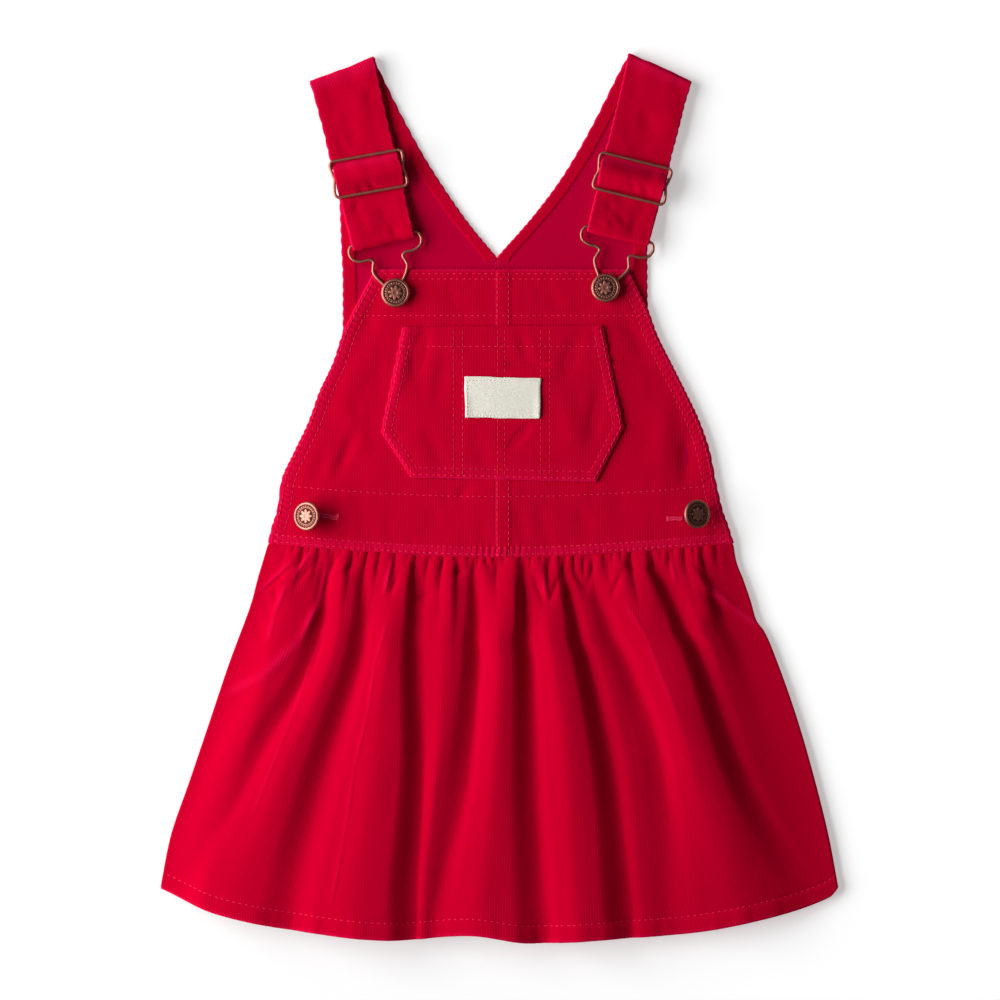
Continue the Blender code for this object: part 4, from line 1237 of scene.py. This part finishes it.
def back_ends(strap, outer_y, inner_y):
    """X of a row's two ends: on the back's outer edge, and on the seam or the V of the neck."""
    seam = BACK_SEAM_X * (1 - ease((inner_y - NECK_POINT) / BACK_SEAM_RUN))
    neck = float(along(NECK_EDGE, "y", "x", inner_y)) if inner_y > NECK_POINT else GAP / 2
    return strap.side * float(along(BACK_OUTER, "y", strap.name, outer_y)), seam + strap.side * neck


def back_rows(strap):
    """The two ends, outer and inner, of each row of the back up to the shoulder."""
    rows = []
    middle, inward, width = strap_frame(strap, 0.0)
    end_outer, end_inner = middle - inward * width / 2, middle + inward * width / 2
    knots = [(SEAM_SIDE_Y, float(seam_y(0.0))), *BACK_ROWS, (end_outer[1], end_inner[1])]
    knots = np.array(knots)
    spots = np.linspace(0, len(knots) - 1, 230)
    outer_y = smooth(np.arange(len(knots)), knots[:, 0], spots)
    inner_y = smooth(np.arange(len(knots)), knots[:, 1], spots)
    for o, i, spot in zip(outer_y, inner_y, spots):
        outer_x, inner_x = back_ends(strap, o, i)
        outer, inner = np.array((outer_x, o)), np.array((inner_x, i))
        near_fold = float(ease((spot - len(knots) + 2.5) / 1.5)) * (spot / (len(knots) - 1)) ** 8
        outer = outer + near_fold * (end_outer - outer)
        rows.append((outer, inner + near_fold * (end_inner - inner)))
    return rows


def back(strap):
    """Half of the back and its strap, one long piece, wrong side up until the shoulder."""
    grain = math.radians(BACK_GRAIN)
    across_grain = np.array((math.cos(grain), -strap.side * math.sin(grain)))
    middle, flat = [], []
    for outer, inner in back_rows(strap):
        places = across_places(float(np.linalg.norm(inner - outer)))
        plan = (outer + inner) / 2 + places[:, None] * unit(inner - outer)
        middle.append(np.column_stack([plan, np.full(len(places), CLOTH / 2)]))
        flat.append(np.stack([plan @ across_grain, plan[:, 1]], axis=-1))
    panel = len(middle)
    shoulder = strap_place(strap, 0.0)
    fold_way = strap_frame(strap, 0.0)[1]
    lean = math.radians(strap.lean)
    down_front = np.array((-strap.side * math.sin(lean), -math.cos(lean)))
    unfolded = 2 * (down_front @ fold_way) * fold_way - down_front
    run = 0.0
    path = strap_path(strap)
    last = path[0]
    for s, z in path:
        centre, way, width = strap_frame(strap, s)
        places = across_places(width)
        plan = centre + places[:, None] * way
        run += math.hypot(s - last[0], z - last[1])
        last = (s, z)
        middle.append(np.column_stack([plan, np.full(len(places), z)]))
        spread = shoulder + unfolded * run + places[:, None] * fold_way
        flat.append(np.stack([spread @ across_grain, spread[:, 1]], axis=-1))
    middle, flat = np.array(middle), np.array(flat)
    n = normals(middle)
    if n[0, 10, 2] < 0:
        n = -n
    edges = unit(middle[:, -1] - middle[:, 0])
    middle[:, 0] -= edges * wale_edge(flat[:, 0, 0])[:, None]
    middle[:, -1] += edges * wale_edge(flat[:, -1, 0])[:, None]
    columns = middle.shape[1]
    relief = np.zeros(middle.shape[:2])
    neck_rows = middle[:panel, -1, 1] > NECK_POINT - 2
    relief[:panel, :BAND_COLUMNS] = 0.45
    relief[:panel, -BAND_COLUMNS:] = 0.45 * neck_rows[:, None]
    top = middle + n * (CLOTH / 2 + relief)[..., None]
    on_strap = (np.arange(len(middle)) >= panel)[:, None]
    from_edge = np.minimum(*(np.linalg.norm(middle - middle[:, [k]], axis=2) for k in (0, -1)))
    rope = np.cos(2 * math.pi * (flat[..., 1] + 0.6 * from_edge) / ROPE_PITCH)
    outside = 0.22 * ease((9 - from_edge) / 5) + 0.10 * rope * bell(from_edge - 2.5, 2.2)
    soft = 0.34 * noise(flat[..., 0], flat[..., 1], 7, 81 + strap.side)
    soft += 0.65 * noise(flat[..., 0] * 0.7, flat[..., 1], 17, 84 + strap.side)
    heights = np.array([0.0] * panel + [z for _, z in path])[:, None]
    soft += (heights >= LOW_RUN) * 1.2 * creased(middle[..., 0], middle[..., 1], STRAP_CREASES)
    bottom = middle - n * (CLOTH / 2 + on_strap * (outside + soft))[..., None]
    bottom[:panel, :, 2] = 0.0
    bottom[..., 2] = np.maximum(bottom[..., 2], 0.0)
    slots = np.ones((len(middle) - 1, columns - 1), np.int32)
    slots[:panel, :BAND_COLUMNS] = 0
    slots[:panel, -BAND_COLUMNS:] = np.where(neck_rows, 0, 1)[:, None]
    # Paler colour along both edges, for worn pile and painted highlight. Painted highlight also over
    # the shoulder fold and over the hump before the slider's middle bar.
    shares = np.minimum(np.arange(columns), np.arange(columns)[::-1])
    wear_and_highlight = np.repeat(bell(shares, 1.2)[None], len(middle), axis=0)
    bend_highlights = [0.0] * panel + [
        0.9 * bell(s, 4.5) + 0.8 * bell(s - strap.slider + 7, 3) * (z > LOW_RUN) for s, z in path
    ]
    wear_and_highlight = np.clip(wear_and_highlight + np.array(bend_highlights)[:, None], 0, 1.2)
    made = shell(
        f"back_{strap.name}_cloth", top, bottom, flat, [RIGHT_SIDE, WRONG_SIDE, RIGHT_SIDE],
        slot_of_top=slots, mark=0.8 * wear_and_highlight,
    )
    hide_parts(f"back_{strap.name}")


# ---------------------------------------------------------------- metal
def local_place(strap, up, tilt):
    """A way to put plan points and a height, given from a place on the strap, on the dress."""
    x, y = strap_place(strap, strap.length - up)
    a = math.radians(-strap.side * tilt)
    turn = np.array(((math.cos(a), -math.sin(a)), (math.sin(a), math.cos(a))))
    return lambda points, z: np.array([(*(turn @ np.array(p) + (x, y)), z) for p in points])


def slider(strap):
    w, h, r = SLIDER_HALF_WIDTH, SLIDER_HALF_HEIGHT, SLIDER_CORNER
    quarter = [(w - SLIDER_PINCH, 0), (w - SLIDER_PINCH * 0.4, h * 0.33), (w, h * 0.62)]
    for a in np.radians((0, 22, 45, 68, 90)):
        quarter.append((w - r + r * math.cos(a), h - r + r * math.sin(a)))
    quarter.append((w / 2, h))
    upper = quarter + [(0, h)] + [(-x, y) for x, y in reversed(quarter)]
    shift = -strap.side * strap.slider_in
    outline = upper + [(x, -y) for x, y in reversed(upper[1:-1])]
    outline = [(x + shift, y) for x, y in outline]
    bar = [(x + shift, 0) for x in np.linspace(-w + SLIDER_PINCH, w - SLIDER_PINCH, 24)]
    name = f"slider_{strap.name}"
    place = local_place(strap, strap.length - strap.slider, strap.slider_tilt)
    made = wire(f"{name}_wire", closed_curve(place(outline, SLIDER_HEIGHT), 7), WIRE_RADIUS)
    bar = wire(f"{name}_bar", place(bar, SLIDER_HEIGHT), WIRE_RADIUS * 0.97, closed=False)
    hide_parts(name)


def hook(strap):
    loop = list(HOOK_HALF) + [(-x, y) for x, y in reversed(HOOK_HALF[1:-1])]
    path = closed_curve(local_place(strap, 0.0, strap.hook_tilt)(loop, HOOK_HEIGHT), 10)
    made = wire(f"hook_{strap.name}_wire", path, WIRE_RADIUS)
    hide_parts(f"hook_{strap.name}")


def button_relief(r, a):
    """Height of the face's design: a rosette of eight petals in a ring of beads."""
    petals = np.abs(np.cos(4 * a))
    flower = ease((4.4 * (0.55 + 0.45 * petals) - r) / 0.5) * 0.32
    flower -= 0.28 * ease((1.3 - r) / 0.4) * 0.6
    beads = 0.30 * np.clip(np.cos(24 * a) * 0.5 + 0.5, 0, 1) * bell(r - 5.75, 0.42)
    ring = 0.26 * bell(r - 4.95, 0.14)
    rim = 0.55 * ease((r - 6.6) / 0.4) * (1 - ease((r - 7.7) / 0.8) * 0.8)
    return np.maximum.reduce(np.broadcast_arrays(flower, beads, ring, rim))


def button(node, place, shank):
    """A domed tack button: shank, turned-under edge, raised rim and a rosette in relief."""
    edge = BUTTON_RADIUS
    a = 2 * math.pi * np.arange(BUTTON_TURNS) / BUTTON_TURNS
    under = [
        (SHANK_RADIUS * 0.02, 0), (SHANK_RADIUS, 0), (SHANK_RADIUS, shank), (edge - 1.4, shank),
        (edge - 0.4, shank + 0.25), (edge, shank + 0.9), (edge - 0.05, shank + 1.3),
    ]
    radii = np.concatenate([np.linspace(edge - 0.25, 0.15, 46), [0.02]])
    points, recess = [], []
    for r, z in under:
        points += [(r * math.cos(t), r * math.sin(t), z) for t in a]
        recess += [0.35] * BUTTON_TURNS
    for r in radii:
        dome = shank + 1.40 + 0.9 * (1 - (r / edge) ** 2)
        relief = button_relief(r, a)
        points += [(r * math.cos(t), r * math.sin(t), dome + lift) for t, lift in zip(a, relief)]
        recess += list(np.clip(1.0 - relief / 0.16, 0, 1) * (0.9 if r < 7 else 0.2))
    placed = [tuple(place @ Vector(p)) for p in points]
    faces = ring_faces(len(under) + len(radii), BUTTON_TURNS)
    made = faces_out(new_mesh(f"{node}_metal", placed, faces, [COPPER], marks={"recess": recess}))
    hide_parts(node)


def buttons():
    for strap in STRAPS:
        place = Matrix.Translation((strap.button_x, strap.button_y, BIB_BUTTON_FLOOR))
        place = place @ Matrix.Rotation(math.radians(8 * strap.side), 4, "Z")
        button(f"bib_button_{strap.name}", place, HOOK_TOP + GAP - BIB_BUTTON_FLOOR)
    for name, x, y, side in WAIST_BUTTONS:
        cloth_top = float(front_floor(np.array(x), np.array(y))) + CLOTH + GAP
        tilt = Matrix.Rotation(math.radians(side * WAIST_BUTTON_TILT), 4, "Y")
        place = Matrix.Translation((x, y, cloth_top + SHANK_RADIUS * 0.5)) @ tilt
        button(f"waist_button_{name}", place, WAIST_BUTTON_LIFT)


def buttonhole(name, x_from, x_to, y, lean):
    """A bar-tacked slit: close threads along both lips, with one bar across its inner end."""
    steps = np.arange(x_from, x_to, 0.42)
    rows = []
    for lip in (-0.6, 0.6):
        wave = 0.25 * noise(steps, 0 * steps + lip, 2.5, 90)
        places = np.stack([steps, y + lip + lean * (steps - steps.mean()) + wave], axis=1)
        p, n = surface_points(bib_surface, places)
        way = np.tile(np.array((0.12, 1.0, 0.0)), (len(p), 1))
        rows.append(np.stack([p, way / np.linalg.norm(way[0]), n], axis=1))
    end = x_to if abs(x_to) < abs(x_from) else x_from
    places = np.stack([end + np.linspace(-0.5, 0.5, 4), np.full(4, y)], axis=1)
    p, n = surface_points(bib_surface, places)
    way = np.tile(np.array((0.0, 1.0, 0.0)), (4, 1))
    stitch_mesh(f"{name}_lips", rows, LOOP_THREAD, 1.3, 0.2, 0.12)
    stitch_mesh(f"{name}_bar", [np.stack([p, way, n], axis=1)], LOOP_THREAD, 3.4, 0.22, 0.2)


def bib_stitching():
    rows = [seats(bib_surface, line, seed=100 + i) for i, line in enumerate(BIB_LINES)]
    seam = [seats(bib_surface, line, seed=130 + i) for i, line in enumerate(SEAM_LINES)]
    stitch_mesh("bib_stitches", rows[:LEVEL_ROWS] + seam[:1], THREAD)
    stitch_mesh("bib_side_stitches", rows[LEVEL_ROWS:] + seam[1:], DEEP_THREAD)
    buttonhole("buttonhole_left", -105.0, -94.6, -9.7, -0.15)
    buttonhole("buttonhole_right", 98.5, 107.0, -11.0, 0.05)


# ---------------------------------------------------------------- picture
FLOOR_HALF = 4.0                 # all in metres, except the lens and the sensor
VIEW_WIDTH = 0.585
VIEW_PLANE = 0.004
VIEW_X = 0.0003
LENS = 150.0
SENSOR = 36.0
Light = namedtuple("Light", "name place length height power")
LIGHTS = table(
    Light,
    ("key", (-1.02, 0.06, 0.66), 1.5, 0.62, 24.5),
    ("low", (-1.25, 0.0, 0.32), 1.6, 0.40, 14.5),
    ("above", (0.0, 0.0, 2.3), 1.0, 1.0, 2.8),
)


def floor():
    """White paper, evened out so that the light's falloff across it doesn't show."""
    made, tree, shader = nodes_of("pale_floor")
    split = tree.nodes.new("ShaderNodeSeparateXYZ")
    put(tree, object_place(tree), split.inputs[0])
    x = split.outputs[0]
    bend = times(tree, plus(tree, times(tree, x, 0.8), 1.0), x)
    paper = math_node(tree, "MAXIMUM", plus(tree, bend, 0.636), 0.34)
    set_inputs(tree, shader, {
        "Base Color": math_node(tree, "MINIMUM", paper, 0.97),
        "Roughness": 1.0,
        "Emission Color": (1.0, 1.0, 1.0),
        "Emission Strength": 0.40,
    })
    mesh = bpy.data.meshes.new("floor")
    corners = [(FLOOR_HALF * x, FLOOR_HALF * y, 0) for x, y in ((-1, -1), (1, -1), (1, 1), (-1, 1))]
    mesh.from_pydata(corners, [], [(0, 1, 2, 3)])
    mesh.materials.append(made)
    obj = bpy.data.objects.new("floor", mesh)
    bpy.context.scene.collection.objects.link(obj)


def area_light(light):
    data = bpy.data.lights.new(light.name, "AREA")
    data.shape = "RECTANGLE"
    data.size, data.size_y = light.length, light.height
    data.energy = light.power
    obj = bpy.data.objects.new(light.name, data)
    obj.location = light.place
    obj.rotation_euler = (-Vector(light.place)).to_track_quat("-Z", "Y").to_euler()
    bpy.context.scene.collection.objects.link(obj)


def picture():
    """Straight down from above, with soft light from the upper left."""
    scene = bpy.context.scene
    data = bpy.data.cameras.new("camera")
    data.lens = LENS
    data.sensor_width = SENSOR
    camera = bpy.data.objects.new("camera", data)
    camera.location = (VIEW_X, -MIDDLE_Y * MM, VIEW_PLANE + VIEW_WIDTH * LENS / SENSOR)
    scene.collection.objects.link(camera)
    scene.camera = camera
    scene.view_settings.view_transform = "Standard"
    world = bpy.data.worlds.new("studio")
    world.use_nodes = True
    background = world.node_tree.nodes["Background"]
    background.inputs["Color"].default_value = (1.0, 1.0, 1.0, 1.0)
    background.inputs["Strength"].default_value = 0.06
    scene.world = world
    for light in LIGHTS:
        area_light(light)


skirt_back()
for strap in STRAPS:
    back(strap)
for strap in STRAPS:
    bib_half(strap)
    slider(strap)
    hook(strap)
skirt_front()
pocket()
label()
buttons()
bib_stitching()
floor()
picture()
